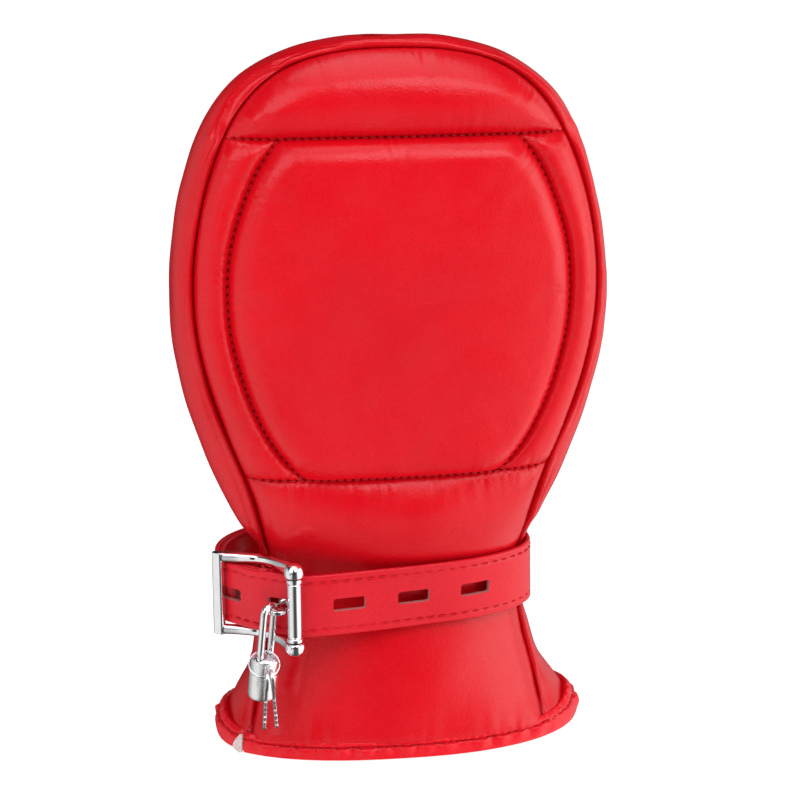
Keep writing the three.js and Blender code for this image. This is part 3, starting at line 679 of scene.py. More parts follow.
class Pad:
    """One padded panel: a place for every u and v, and how its four seams shape it. Each seam
    has the width of its rounding, whether it is quilted, and how much it puckers."""

    def __init__(self, name, where, height, seams, grid, swell=0.25):
        self.name, self.where, self.height, self.seams, self.grid = name, where, height, seams, grid
        self.swell = swell

    def places(self, rows, columns):
        u, v = np.meshgrid(spread(np.linspace(0, 1, columns)), spread(np.linspace(0, 1, rows)))
        return self.where(u, v)

    def lines(self):
        t = np.linspace(0, 1, 700)
        zero, one = np.zeros_like(t), np.ones_like(t)
        sides = [self.where(zero, t), self.where(one, t), self.where(t, zero), self.where(t, one)]
        return [np.column_stack(side) for side in sides]

    def depth(self, x, z, seed, detail):
        """Depth of the skin. Without detail it is the plain cushion that the simulation swells."""
        roll, extra, crease = np.ones_like(x), np.zeros_like(x), np.zeros_like(x)
        for k, (line, (width, quilted, pucker)) in enumerate(zip(self.lines(), self.seams)):
            near, along = seam_field(x, z, line)
            s = np.clip(near / width, 0, 1)
            roll *= (1 - (1 - s) ** 2.4) ** 0.62
            if not detail:
                continue
            # crease: how near a seam each point lies, which the material turns into painted shade
            crease = np.maximum(crease, peak(near, 0, 0.55))
            folds = waves(seed + k, (5.5, 15))(along)
            slow = waves(seed + 40 + k, (18, 50))(along)
            extra += pucker * (0.6 + 0.4 * slow) * folds * rise_beside(near, 3)
            fine = waves(seed + 60 + k, (2.6, 4.4))(along)
            extra += 0.05 * (1 + 0.6 * slow) * fine * rise_beside(near, 1.3)
            if quilted:
                pinch = pulls(along, QUILT_STITCH)
                extra -= 0.35 * pinch * peak(near, 0, 1.2)
                extra -= 0.14 * pinch * (1 + 0.6 * slow) * np.exp(-near / 3.2)
        level = panel_level(x, z) - STRAP_PRESS * peak(z, STRAP_HEIGHT, 13, 4)
        depth = level - GROOVE + (self.height + GROOVE) * roll
        if detail:
            extra += self.swell * swells(seed + 90, (28, 70))(x, z) * roll
        return depth + extra, crease


def between(low, high):
    return lambda v: low + EDGE + (high - low - 2 * EDGE) * v


def strip_between(height, left, right):
    """Places between two edges. Each edge is a half width, its side, and what is added."""
    def where(u, v):
        z = height(v)
        a, b = (side * half(z) + more for half, side, more in (left, right))
        return a + (b - a) * u, z
    return where


def top_where(u, v):
    """Places between the straight seam and the arch of the outline."""
    base = (seam_half(TOP_SEAM + EDGE) - EDGE) * (2 * u - 1)
    first = np.interp(TOP_SEAM + 2.2, TOP_ARCH[:TOP_ARCH_MIDDLE, 1], DENSE[:TOP_ARCH_MIDDLE])
    at = first + (1 - 2 * first) * u
    x, z = (np.interp(at, DENSE, TOP_ARCH[:, k]) for k in range(2))
    x, z = x * 0.998, z - EDGE
    low = TOP_SEAM + EDGE
    return base + (x - base) * v, low + (z - low) * v


TOP_ARCH = catmull(outline(SEAM), DENSE)
TOP_ARCH_MIDDLE = len(DENSE) // 2
cuff_heights = between(HEM_HEIGHT - 1.8, LOWER_SEAM)
middle_heights = between(LOWER_SEAM, TOP_SEAM)

# Height of the padding, then for the left, right, low and high seams the width of the rounding,
# quilted or not, and puckers. Last the grid's cells and how much the pad swells.
PADS = [
    Pad("cuff", strip_between(cuff_heights, (seam_half, -1, EDGE), (seam_half, 1, -EDGE)), 1.9,
        [(6, False, 0.15), (6, False, 0.15), (5, False, 0.12), (11, True, 0.1)], (192, 220)),
    Pad("centre", strip_between(middle_heights, (quilt_half, -1, EDGE), (quilt_half, 1, -EDGE)), 6.5,
        [(10, True, 0.06), (10, True, 0.06), (11, True, 0.08), (11, True, 0.06)], (240, 240), 0.1),
    Pad("left_strip", strip_between(middle_heights, (seam_half, -1, EDGE), (quilt_half, -1, -EDGE)),
        3.6, [(6.5, False, 0.1), (7.5, True, 0.08), (8, True, 0.1), (7, True, 0.12)], (240, 44), 0.12),
    Pad("right_strip", strip_between(middle_heights, (quilt_half, 1, EDGE), (seam_half, 1, -EDGE)),
        3.6, [(7.5, True, 0.06), (6.5, False, 0.08), (8, True, 0.1), (7, True, 0.12)], (240, 44), 0.12),
    Pad("top", top_where, 8.4,
        [(12, False, 0.12), (12, False, 0.12), (24, True, 0.1), (13, False, 0.1)], (88, 280), 0.15),
]


def pad_points(pad, side, rows, columns, seed, detail):
    x, z = pad.places(rows, columns)
    depth, crease = pad.depth(x, z, seed, detail)
    return flared(np.stack([x, side * depth, z], -1)), crease


def simulated(sheets):
    """Swells the pads as cloth that is held at its seams. Returns how each point moved."""
    points, faces, pins = [], [], []
    for side, sheet in sheets:
        start = sum(len(p) for p in points)
        rows, columns = sheet.shape[:2]
        made = grid_faces(rows, columns, start)
        faces += [face[::-1] for face in made] if side > 0 else made
        inside = np.zeros((rows, columns), bool)
        inside[1:-1, 1:-1] = True
        pins += (np.flatnonzero(~inside.ravel()) + start).tolist()
        points.append(sheet.reshape(-1, 3))
    start_points = np.vstack(points)
    mesh = bpy.data.meshes.new("cloth")
    mesh.from_pydata((start_points * MM).tolist(), [], faces)
    cloth_piece = linked("cloth", mesh)
    cloth_piece.vertex_groups.new(name="pins").add(pins, 1.0, "REPLACE")
    cloth = cloth_piece.modifiers.new("cloth", "CLOTH")
    assign(cloth.settings, quality=7, mass=0.2, tension_stiffness=18, compression_stiffness=18,
           shear_stiffness=6, bending_stiffness=0.35, shrink_min=0.0, shrink_max=0.0,
           use_pressure=True, uniform_pressure_force=3, vertex_group_mass="pins")
    cloth.settings.effector_weights.gravity = 0
    cloth.collision_settings.use_collision = False
    scene = bpy.context.scene
    assign(cloth.point_cache, frame_start=1, frame_end=SIM_FRAMES)
    for step in range(1, SIM_FRAMES + 1):
        scene.frame_set(step)
    evaluated = cloth_piece.evaluated_get(bpy.context.evaluated_depsgraph_get())
    end = np.empty(len(start_points) * 3)
    evaluated.data.vertices.foreach_get("co", end)
    move = end.reshape(-1, 3) / MM - start_points
    scene.frame_set(1)
    bpy.data.objects.remove(cloth_piece)
    length = np.linalg.norm(move, axis=1, keepdims=True)
    move *= np.minimum(1, PUFF_CAP / np.maximum(length, 1e-9))
    moves, at = [], 0
    for _, sheet in sheets:
        count = sheet.shape[0] * sheet.shape[1]
        moves.append(move[at:at + count].reshape(sheet.shape))
        at += count
    return moves


def finer(grid, rows, columns):
    """A grid of values on more lines, without creases between them."""
    by_row = smooth_rows(grid, rows)
    return smooth_rows(by_row.swapaxes(0, 1), columns).swapaxes(0, 1)


def smooth_rows(grid, rows):
    """Uniform Catmull-Rom between the rows of a grid."""
    padded = np.concatenate([2 * grid[:1] - grid[1:2], grid, 2 * grid[-1:] - grid[-2:-1]])
    at = np.linspace(0, 1, rows) * (len(grid) - 1)
    i = np.minimum(at.astype(int), len(grid) - 2)
    w = (at - i).reshape(-1, 1, 1)
    p0, p1, p2, p3 = (padded[i + k] for k in range(4))
    return 0.5 * (2 * p1 + (p2 - p0) * w + (2 * p0 - 5 * p1 + 4 * p2 - p3) * w**2
                  + (3 * p1 - p0 - 3 * p2 + p3) * w**3)


def with_painted_seam_shade(piece, values):
    """Stores how deep in a seam each point is, for the material to paint shade there."""
    attribute = piece.data.attributes.new("crease", "FLOAT", "POINT")
    full = np.zeros(len(piece.data.vertices), np.float32)
    full[:len(values)] = values
    attribute.data.foreach_set("value", full)


def make_pads():
    jobs = [(face, side, pad, 100 * k + (7 if side > 0 else 0))
            for k, pad in enumerate(PADS) for face, side in (("front", -1), ("back", 1))]
    moves = [None] * len(jobs)
    sheets = []
    for _, side, pad, seed in jobs:
        rows, columns = (n // SIM_STEP + 1 for n in pad.grid)
        sheets.append((side, pad_points(pad, side, rows, columns, seed, False)[0]))
    moves = simulated(sheets)
    for (face, side, pad, seed), move in zip(jobs, moves):
        rows, columns = (n + 1 for n in pad.grid)
        outer, crease = pad_points(pad, side, rows, columns, seed, True)
        if move is not None:
            outer += FOAM_GIVE * finer(move, rows, columns)
        x, z = pad.places(pad.grid[0] // 4 + 1, pad.grid[1] // 4 + 1)
        inside = np.minimum(lining_level(x, z) + 2.0, panel_level(x, z) - 4.5)
        inner = flared(np.stack([x, side * inside, z], -1))
        name = f"{face}_{pad.name}"
        piece = new_mesh(name + "_pad", *slab(outer, inner), LEATHER_RED, slot="leatherette")
        with_painted_seam_shade(piece, crease.ravel())
        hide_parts(name + "_panel", name + "_foam")


# ------------------------------------------------------------------ side band, hem and lining

def gusset():
    """The band between the front and back seams. Beside each seam it rolls over the turned-in
    edge, with a crease behind the roll."""
    rows, columns = 4 * 190 + 1, 4 * 16 + 1
    seam_line, side_line = catmull(outline(SEAM), DENSE), catmull(outline(SIDE), DENSE)

    def section(count_u, count_v, inset):
        u = np.linspace(0, 1, count_u)
        seam, side = (np.column_stack([np.interp(u, DENSE, line[:, k]) for k in range(2)])
                      for line in (seam_line, side_line))
        out = side - seam
        reach = np.linalg.norm(out, axis=1, keepdims=True)
        out = out / reach
        v = spread(spread(np.linspace(0, 1, count_v)))
        angle = (v - 0.5) * math.pi
        deep = seam_depth(seam[:, 1])[:, None]
        bow = np.cos(angle) * (reach - inset)
        depth = (deep - inset) * np.sin(angle)
        x = seam[:, :1] + out[:, :1] * (0.12 + bow)
        z = seam[:, 1:] + out[:, 1:] * (0.12 + bow)
        n = unit(np.stack([np.cos(angle) / reach, np.sin(angle) / deep], -1))
        normal = np.stack([out[:, :1] * n[..., 0], n[..., 1], out[:, 1:] * n[..., 0]], -1)
        return np.stack([x, depth, z], -1), normal

    outer, normal = section(rows, columns, 0)
    steps = np.linalg.norm(np.diff(outer, axis=1), axis=-1)
    across = np.concatenate([np.zeros((rows, 1)), np.cumsum(steps, 1)], 1)
    total = across[:, -1:]
    along = lengths_along(outer[:, columns // 2])
    lift, crease = np.zeros((rows, columns)), np.zeros((rows, columns))
    x, z = outer[:, 0, 0], outer[:, 0, 2]
    share = np.clip((z - FOLD[0]) / (FOLD[1] - FOLD[0]), 0, 1)
    fold = (FOLD_REACH * np.sin(math.pi * share ** 1.6) ** 0.7 * (x < 0))[:, None]
    for k, near in enumerate((across, total - across)):
        slow = waves(300 + k, (25, 70))(along)[:, None]
        folds = waves(310 + k, (6, 16))(along)[:, None]
        pinch = sum(peak(np.hypot(x - corner * seam_half(TOP_SEAM), z - TOP_SEAM), 0, 4.5)
                    for corner in (-1, 1))
        if k == 0:
            pinch += 0.8 * peak(z, FOLD[1], 1.2) * (x < 0)
        pinch = pinch[:, None]
        roll = 1.0 + 0.3 * slow - 0.9 * pinch
        ridge = 2.1 + (fold if k == 0 else 0)
        pulled = ridge - 2.1
        lift -= 1.7 * peak(near, 0, 0.75) * np.clip((z[:, None] - 8) / 6, 0.1, 1)
        sharp = 1.0 if k else 1 - 0.11 * fold
        lift += (0.9 * roll + 0.25 * pulled) * peak(near, ridge, sharp)
        lift -= (0.35 + 0.15 * slow + 0.16 * pulled) * peak(near, ridge + 2.2, 1.0)
        lift -= np.where(near < ridge, 0.25 * pulled * np.sin(math.pi * near / ridge), 0)
        lift += 0.08 * folds * rise_beside(near, 3)
        lift += pinch * (0.9 * peak(near, 6.5, 3) - 0.7 * peak(near, 0, 4))
        # crease: nearness to the seam, painted as shade by the material
        crease = np.maximum(crease, peak(near, 0, 0.5))
    lift += 0.18 * swells(320, (24, 60))(along[:, None] + 0 * across, across)
    outer = outer + normal * lift[..., None]
    inner, _ = section(rows // 4 + 1, columns // 4 + 1, 3.2)
    piece = new_mesh("gusset_band", *slab(flared(outer), flared(inner)), LEATHER_RED,
                     slot="leatherette")
    with_painted_seam_shade(piece, crease.ravel())
    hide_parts("gusset")


# The binding's section, from its underside up its outer face and down its inner one.
HEM_SECTION = [
    (-2.1, 0.0), (-0.9, 0.05), (-0.2, 0.5), (0.2, 1.5), (0.35, 2.8), (0.25, 4.1), (-0.1, 5.0),
    (-0.75, 5.55), (-0.35, 6.0), (0.15, 6.5), (0.25, 7.1), (-0.1, 7.7), (-0.9, 8.0), (-1.8, 7.5),
    (-2.8, 7.0), (-3.6, 6.6), (-4.1, 5.6), (-4.2, 3.6), (-4.2, 1.8), (-3.8, 0.5), (-3.0, 0.05),
]


def closed_curve(points, count):
    """A smooth closed curve through points."""
    points = np.asarray(points, float)
    around = np.vstack([points[-2:], points, points[:3]])
    spans = len(around) - 1
    t = (2 + np.linspace(0, len(points), count, endpoint=False)) / spans
    return catmull(around, t)


def hem_risen(angle, offset, height):
    """The binding's section at an angle: taller at the sides, its upper part leaning in."""
    tall = height * (1 + HEM_RISE * np.abs(np.cos(angle)) ** 6)
    return offset - 0.8 * np.maximum(0, tall - np.maximum(height, 7.4)), tall


def hem_axes(angle):
    """Place and outward direction on the hem's outer edge."""
    c, s = np.cos(angle), np.sin(angle)
    full = (np.abs(c) ** HEM_FULLNESS + np.abs(s) ** HEM_FULLNESS) ** (-1 / HEM_FULLNESS)
    place = np.stack([HEM_HALF * c * full, HEM_DEPTH * s * full], -1)
    out = np.stack([np.sign(c) * np.abs(c) ** (HEM_FULLNESS - 1) * HEM_DEPTH,
                    np.sign(s) * np.abs(s) ** (HEM_FULLNESS - 1) * HEM_HALF], -1)
    return place, unit(out)


def hem_binding():
    """A folded strip round the mouth of the cuff: a soft roll, a line of stitches, and the
    strip's upper edge above it. One end laps over the other."""
    count = 1100
    angle = HEM_JOINT + np.linspace(0, 2 * math.pi, count)
    place, out = hem_axes(angle)
    along = lengths_along(place)
    section = closed_curve(HEM_SECTION, 64)
    offset, height = (np.tile(section[:, k], (count, 1)) for k in range(2))
    outside = np.exp(-np.minimum(0, section[:, 0] + 1.2) ** 2 / 0.5)
    roll, upper, ridge, line = (peak(section[:, 1], at, width) * outside for at, width in
                                ((3.4, 1.7), (4.9, 0.8), (7.0, 0.9), (5.6, 0.5)))
    folds, fine, slow = (waves(400 + k, lengths)(along)[:, None]
                         for k, lengths in enumerate(((7, 15), (3.2, 6), (25, 60))))
    stitch = pulls(along, HEM_STITCH)[:, None]
    offset += 0.32 * folds * roll + 0.22 * (folds + 0.6 * fine) * upper + 0.16 * slow * roll
    offset += (0.14 * fine + 0.12 * slow) * ridge - 0.3 * stitch * line - 0.12 * stitch * ridge
    height += (0.22 * slow + 0.08 * fine) * ridge
    lap = np.exp(-along / 9.0)[:, None]
    under = np.exp(-(along[-1] - along) / 7.0)[:, None]
    offset += (0.75 * lap - 0.55 * under) * outside
    offset, height = hem_risen(angle[:, None], offset, np.maximum(0, height))
    rings = flared(carried(place, out, offset, height))
    piece = new_mesh("hem_binding_strip", *tube(rings), BINDING_RED, slot="binding", sharp=60)
    # Painted shade along the stitched crease below the binding's upper edge.
    with_painted_seam_shade(piece, np.tile(0.75 * line, count))
    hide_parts("hem_binding")


def hem_raw_end():
    """The strip's cut end curls out and shows its pale knitted backing."""
    place, out = hem_axes(np.array(HEM_JOINT - 0.012))
    along = np.array([-out[1], out[0]])
    rows, columns = 4 * 12 + 1, 4 * 8 + 1

    def sheet(count_a, count_b, thick):
        a, b = np.meshgrid(np.linspace(0, 1, count_a), np.linspace(0, 1, count_b), indexing="ij")
        reach = 0.9 + 4.0 * np.sin(math.pi * np.clip(a * 1.02, 0, 1)) ** 0.8 * (1 - 0.55 * a)
        curl = b * (1.5 + 0.6 * np.sin(math.pi * a))
        flat = reach * np.sin(curl) / 1.35
        rise = 0.7 + reach * (1 - np.cos(curl)) * 0.48 + 0.35 * np.sin(5 * a + 2 * b) * b
        normal_out, normal_flat = np.cos(curl * 0.8), -np.sin(curl * 0.8)
        edge = 1 - np.maximum(np.abs(2 * a - 1), 2 * b - 1) ** 8
        half = thick * (0.35 + 0.65 * np.sqrt(np.clip(edge, 0, 1)))
        rise = rise + normal_out * half
        flat = flat + normal_flat * half
        z = 0.45 + 7.6 * a + 0.5 * b * (a - 0.4)
        return flared(np.stack([place[0] + out[0] * rise - along[0] * flat,
                                place[1] + out[1] * rise - along[1] * flat, z], -1))

    outer = sheet(rows, columns, 0.5)
    inner = sheet(rows // 4 + 1, columns // 4 + 1, -0.5)
    new_mesh("hem_raw_end", *slab(outer, inner), RAW_EDGE, slot="raw_edge")


def lining():
    """The inner bag: two skins of cloth with soft upright folds, closed over the fingers."""
    rings, sides = 110, 260
    low = HEM_HEIGHT - 1.5
    slack = 1.6
    high = SIDE[-1][1] - LINING_INSET - slack
    angle = np.linspace(0, 2 * math.pi, sides, endpoint=False)
    share = np.sin(np.linspace(0, 1, rings + 1)[:rings] * math.pi / 2) ** 1.15
    z = low + (high - low) * share
    half = side_half(np.maximum(z, 7.4)) - LINING_INSET - slack
    depth = hand_depth(np.clip(z, 7, 272)) - slack
    power = (2 / flatness(np.clip(z, 7, 276)))[:, None]
    folds = waves(500, (14, 34))(angle * 55)[None] + 0.5 * waves(501, (9, 15))(angle * 55)[None]
    wrinkle = swells(502, (18, 45))(angle[None] * 60 + 0 * z[:, None], z[:, None] + 0 * angle[None])
    give = np.minimum(0, (0.55 * folds + 0.5 * wrinkle - 0.9)) * np.clip(z / 25, 0.15, 1)[:, None]

    def bag(inset, drop):
        c, s = np.cos(angle)[None], np.sin(angle)[None]
        x = np.sign(c) * np.abs(c) ** power * np.maximum(0, half[:, None] - inset + give)
        y = np.sign(s) * np.abs(s) ** power * np.maximum(0, depth[:, None] - inset + give)
        level = z[:, None] - drop * (np.arange(rings)[:, None] > 0) + 0 * x
        return flared(np.stack([x, y, level], -1)).reshape(-1, 3)

    points = np.vstack([bag(0, 0), [[0, 0, high]], bag(0.9, 1), [[0, 0, high - 1]]])
    sheet = rings * sides + 1
    faces = []
    for j in range(sides):
        k = (j + 1) % sides
        for r in range(rings - 1):
            a, b = r * sides, (r + 1) * sides
            faces.append([a + j, a + k, b + k, b + j])
            faces.append([sheet + b + j, sheet + b + k, sheet + a + k, sheet + a + j])
        top = (rings - 1) * sides
        faces.append([top + j, top + k, sheet - 1])
        faces.append([sheet + top + k, sheet + top + j, 2 * sheet - 1])
        faces.append([sheet + j, sheet + k, k, j])
    piece = new_mesh("lining_bag", points, faces, LINING_CLOTH, slot="lining")
    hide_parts("lining")


# ------------------------------------------------------------------ wrist strap

def to_plan(u, w):
    c, s = math.cos(BUCKLE_TURN), math.sin(BUCKLE_TURN)
    return (BUCKLE_X + u * c + w * s, BUCKLE_Y + u * s - w * c)


TAIL_PATH = [
    (7, 33), (25, 30.4), (42.5, 23.2), (53, 12.3), (56.4, 0), (54, -11.8), (45.2, -21.2),
    (29.5, -28.6), (5, -33.6), (-18, -36.6), (-32, -38.1),
    to_plan(19, -1.9), to_plan(9, -0.5), to_plan(0, 0.75), to_plan(-9, -0.6), to_plan(-18, -2.5),
    (-70.9, -3), (-69.6, 8.5), (-63.4, 20.5), (-53, 30), (-40, 35.8), (-27, 37.6),
]


def spaced(points, step):
    """A smooth line through points, as points an equal distance apart."""
    dense = catmull(points, DENSE)
    along = lengths_along(dense)
    at = np.linspace(0, along[-1], int(along[-1] / step) + 1)
    return np.column_stack([np.interp(at, along, dense[:, k]) for k in range(dense.shape[1])]), at


def normals_of(line):
    """Unit normals of a plan line, to its left."""
    along = unit(np.gradient(line, axis=0))
    return np.column_stack([-along[:, 1], along[:, 0]])


def strap_section(width, thickness, rows=(STRAP_ROW,)):
    """Closed section of a strap as (height, offset), offset growing outwards. The outer face
    dips along the rows of stitches."""
    half, t = width / 2, thickness / 2
    corner = min(0.85, t * 0.9)
    rows = [sign * row for row in rows for sign in (-1, 1)]
    fine = [row + np.linspace(-1.2, 1.2, 9) for row in rows]
    coarse = np.linspace(-half + corner, half - corner, 17)
    across = np.unique(np.round(np.concatenate([coarse, *fine]), 3))
    face = np.full(len(across), t)
    for row in rows:
        face -= 0.32 * peak(across, row, 0.5)
    turn = np.linspace(math.pi / 2, -math.pi / 2, 9)[1:-1]
    edge = np.column_stack([half - corner + corner * np.cos(turn), t * np.sin(turn)])
    top = np.column_stack([across, face])
    back = np.column_stack([np.linspace(half - corner, -half + corner, 13), np.full(13, -t)])
    low = np.column_stack([-edge[::-1, 0], edge[::-1, 1]])
    return np.vstack([top, edge, back, low])


def ribbon(line, section, ends=0.0, wave=None):
    """A strap's solid: its section carried along a plan line whose left is the strap's outer
    face. ends rounds the corners of its ends, and wave tips it in and out."""
    along = lengths_along(line)
    half = section[:, 0].max()
    squeeze = np.ones(len(line))
    if ends:
        from_end = np.minimum(along, along[-1] - along)
        s = np.clip(1 - from_end / ends, 0, 1)
        squeeze = 1 - ends / half * (1 - np.sqrt(1 - s**2))
    offset = section[None, :, 1]
    if wave:
        offset = offset + wave(along)[:, None] * section[None, :, 0] / half
    height = STRAP_HEIGHT + section[None, :, 0] * squeeze[:, None]
    return tube(carried(line, normals_of(line), offset, height))


def stitch_part(length, radius):
    """One lockstitch: a plump thread that dives into the leather at both ends."""
    t = np.linspace(-1, 1, 11)
    path = np.column_stack([t * length / 2, 0 * t, -0.42 * np.abs(t) ** 3])
    return tube(wire_rings(path, radius * (1 - 0.35 * t**6), 10, up=(0, 1, 0)))


def stitches(name, frames, thread):
    """Many stitches in one piece. Each frame gives a stitch's centre, its direction, and out.
    thread is a stitch's length and radius."""
    base, faces = stitch_part(*thread)
    points, made = [], []
    for k, (centre, direction, out) in enumerate(frames):
        side = np.cross(out, direction)
        made += [[i + k * len(base) for i in face] for face in faces]
        points.append(centre + base[:, :1] * direction + base[:, 1:2] * side + base[:, 2:] * out)
    return new_mesh(name, np.vstack(points), made, THREAD, "mitt", "thread", 60)


def strap_stitches(name, line, row_height, face):
    """A row of stitches near each edge of a strap, on its outer face."""
    normal, along, from_end = normals_of(line), lengths_along(line), 3.0

    def value(rows, at):
        return np.array([np.interp(at, along, rows[:, k]) for k in range(2)])

    frames = []
    for row, height in enumerate((-row_height, row_height)):
        at = from_end + 0.7 * row
        while at < along[-1] - from_end:
            p, n = value(line, at), unit(value(normal, at))
            direction = unit(np.array([*(value(line, at + 0.5) - p), 0.03]))
            centre = np.array([*(p + n * face), STRAP_HEIGHT + height])
            frames.append((centre, direction, np.array([*n, 0])))
            at += STRAP_STITCH
    stitches(name, frames, STRAP_THREAD)


def quilt_stitches(face, side):
    """Lockstitches at the bottom of the quilted seams."""
    frames = []
    heights = np.linspace(LOWER_SEAM, TOP_SEAM, 400)
    quilt = quilt_half(heights)
    runs = [(-quilt, heights), (quilt, heights)]
    for height in (LOWER_SEAM, TOP_SEAM):
        runs.append((np.linspace(-seam_half(height), seam_half(height), 400), np.full(400, height)))
    for x, z in runs:
        along = lengths_along(np.column_stack([x, z]))
        at = np.arange(2, along[-1] - 1.5, QUILT_STITCH)
        ends = []
        for place in (at - 0.5, at + 0.5):
            px, pz = np.interp(place, along, x), np.interp(place, along, z)
            ends.append(flared(np.stack([px, side * (panel_level(px, pz) - GROOVE / 2), pz], -1)))
        for a, b in zip(*ends):
            direction = unit(b - a)
            out = np.array([0, side, 0]) - direction * direction[1] * side
            frames.append(((a + b) / 2, direction, unit(out)))
    stitches(f"{face}_quilt_stitches", frames, QUILT_THREAD)


def hem_stitches():
    """The stitches that hold the binding, in the crease below its upper edge."""
    count = 2000
    angle = HEM_JOINT + np.linspace(0, 2 * math.pi, count)
    place, out = hem_axes(angle)
    along = lengths_along(place)
    frames = []
    for at in np.arange(HEM_STITCH / 2, along[-1] - 1, HEM_STITCH):
        k = int(np.searchsorted(along, at))
        n = np.array([*out[k], 0.0])
        inset, height = hem_risen(angle[k], -0.45, 5.6)
        centre = np.array([*place[k], height]) + n * inset
        ahead = np.array([*(place[(k + 3) % count] - place[k - 3]), 0])
        start, end, outer = flared(np.stack([centre, centre + ahead, centre + n]))
        direction = end - start
        direction[2] += 0.06 * np.linalg.norm(direction)
        frames.append((start, unit(direction), unit(outer - start)))
    stitches("hem_stitches", frames, HEM_THREAD)


def slot_tool(x, y, angle):
    """A slot with rounded corners, its long way along the strap."""
    turn = Matrix.Rotation(angle, 4, "Z") @ Matrix.Rotation(math.pi / 2, 4, "X")
    return moved(box_prism(*SLOT, 14, 1.3), Matrix.Translation((x, y, STRAP_HEIGHT)) @ turn)


def tail_strap():
    """The slotted strap, from the back round the right side and the front to its free end."""
    line, along = spaced(TAIL_PATH, 0.9)
    drift = waves(600, (40, 90))
    section = strap_section(STRAP_WIDTH, LEATHER)
    leather = ribbon(line, section, 2.5, lambda s: 0.18 * drift(s))
    piece = new_mesh("tail_strap_leather", *leather, STRAP_RED, slot="strap_leather")
    staple = np.array(to_plan(STAPLE_U + SLOT_PLAY, -1))
    first = along[np.linalg.norm(line - staple, axis=1).argmin()]
    for n in range(-1, 4):
        at = first - n * SLOT_PITCH
        x, y = (np.interp(at, along, line[:, k]) for k in range(2))
        dx, dy = (np.interp(at + 0.5, along, line[:, k]) - np.interp(at - 0.5, along, line[:, k])
                  for k in range(2))
        cut_from(piece, slot_tool(x, y, math.atan2(dy, dx)), RAW_SLOT)
    finish_piece(piece, None, "mitt", 40, outward=False)
    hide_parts("tail_strap")
    strap_stitches("tail_strap_stitches", line, STRAP_ROW, LEATHER / 2 - 0.1)


def buckle_strap():
    """The short strap: from the patch at the back it runs inside the tail, folds round the
    buckle's centre bar and is sewn back on itself."""
    line, _ = spaced(TAIL_PATH, 0.9)
    normal = normals_of(line)

    def nearest(point):
        return int(np.linalg.norm(line - np.array(point), axis=1).argmin())

    under = LEATHER + GAP
    start, inner_end = nearest(to_plan(-8, -0.5)), nearest(to_plan(-27, -3))
    inner = (line - normal * 2 * under)[start:inner_end][::-1]
    outer = (line - normal * under)[start:len(line) - 8]
    bend = PIN + GAP + LEATHER / 2
    turn = np.radians(np.linspace(255, 465, 26))
    fold = [to_plan(bend * math.cos(a), DIP + bend * math.sin(a)) for a in turn]
    route = np.vstack([inner, fold, outer, [(-15, 33.8), (-5, 33.2)]])
    smooth, _ = spaced(route[::3], 0.8)
    leather = ribbon(smooth, strap_section(STRAP_WIDTH, LEATHER, ()))
    piece = new_mesh("buckle_strap_leather", *leather, STRAP_RED, slot="strap_leather")
    place = Matrix.Translation((*to_plan(-2.5, DIP), STRAP_HEIGHT))
    turned = place @ Matrix.Rotation(BUCKLE_TURN, 4, "Z")
    window = moved(box_prism(FOLD_SLOT[0], 12, FOLD_SLOT[1], 1.0), turned)
    cut_from(piece, window, RAW_SLOT)
    finish_piece(piece, None, "mitt", 40, outward=False)
    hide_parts("buckle_strap")


def strap_patch():
    """A sewn patch over the ends of both straps, with a rivet through each."""
    bends, face = np.array([(-15, 36), (-5, 35.6), (8, 35.4), (19, 34.6)]), 0.72
    line, _ = spaced(bends, 0.5)
    leather = ribbon(line, strap_section(STRAP_WIDTH - 3, 1.6, (PATCH_ROW,)), 2.6)
    piece = new_mesh("strap_patch_leather", *leather, STRAP_RED, slot="strap_leather")
    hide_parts("strap_patch")
    strap_stitches("strap_patch_stitches", line, PATCH_ROW, face)
    columns = []
    for at in (-12.7, 16.4):
        y = np.interp(at, *bends.T) + face
        for height in np.arange(-5.6, 6, 3.9):
            columns.append((np.array([at, y, STRAP_HEIGHT + height]), np.array([0, 0.05, 1.0]),
                            np.array([0, 1.0, -0.05])))
    stitches("strap_patch_cross_stitches", columns, QUILT_THREAD)


def rivet(name, x, face):
    """A post through both leathers and a cap with a raised middle."""
    half = [(0, 0), (1.4, 0), (1.4, 4.25), (3.6, 4.25), (3.95, 4.4), (4.0, 4.7), (3.8, 5.1),
            (3.2, 5.55), (2.6, 5.6), (2.2, 5.45), (1.7, 5.75), (0.9, 6.05), (0, 6.12)]
    dense = catmull(half, np.linspace(0, 1, 50))
    dense = np.vstack([[(0, 0)], dense[1:-1], [(0, dense[-1, 1])]])
    turn = Matrix.Translation((x, face - 4.2, STRAP_HEIGHT)) @ Matrix.Rotation(-math.pi / 2, 4, "X")
    piece = new_mesh(name + "_cap", *moved(lathe(dense), turn), CHROME, slot="chrome")
    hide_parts(name)


# ------------------------------------------------------------------ buckle

HARDWARE = (Matrix.Translation((BUCKLE_X, BUCKLE_Y, STRAP_HEIGHT))
            @ Matrix.Rotation(BUCKLE_TURN, 4, "Z"))


def rod(radius, length, centre):
    half = length / 2
    part = lathe([(0, -half), (radius, -half), (radius, half), (0, half)], 40)
    return moved(part, Matrix.Translation(centre))


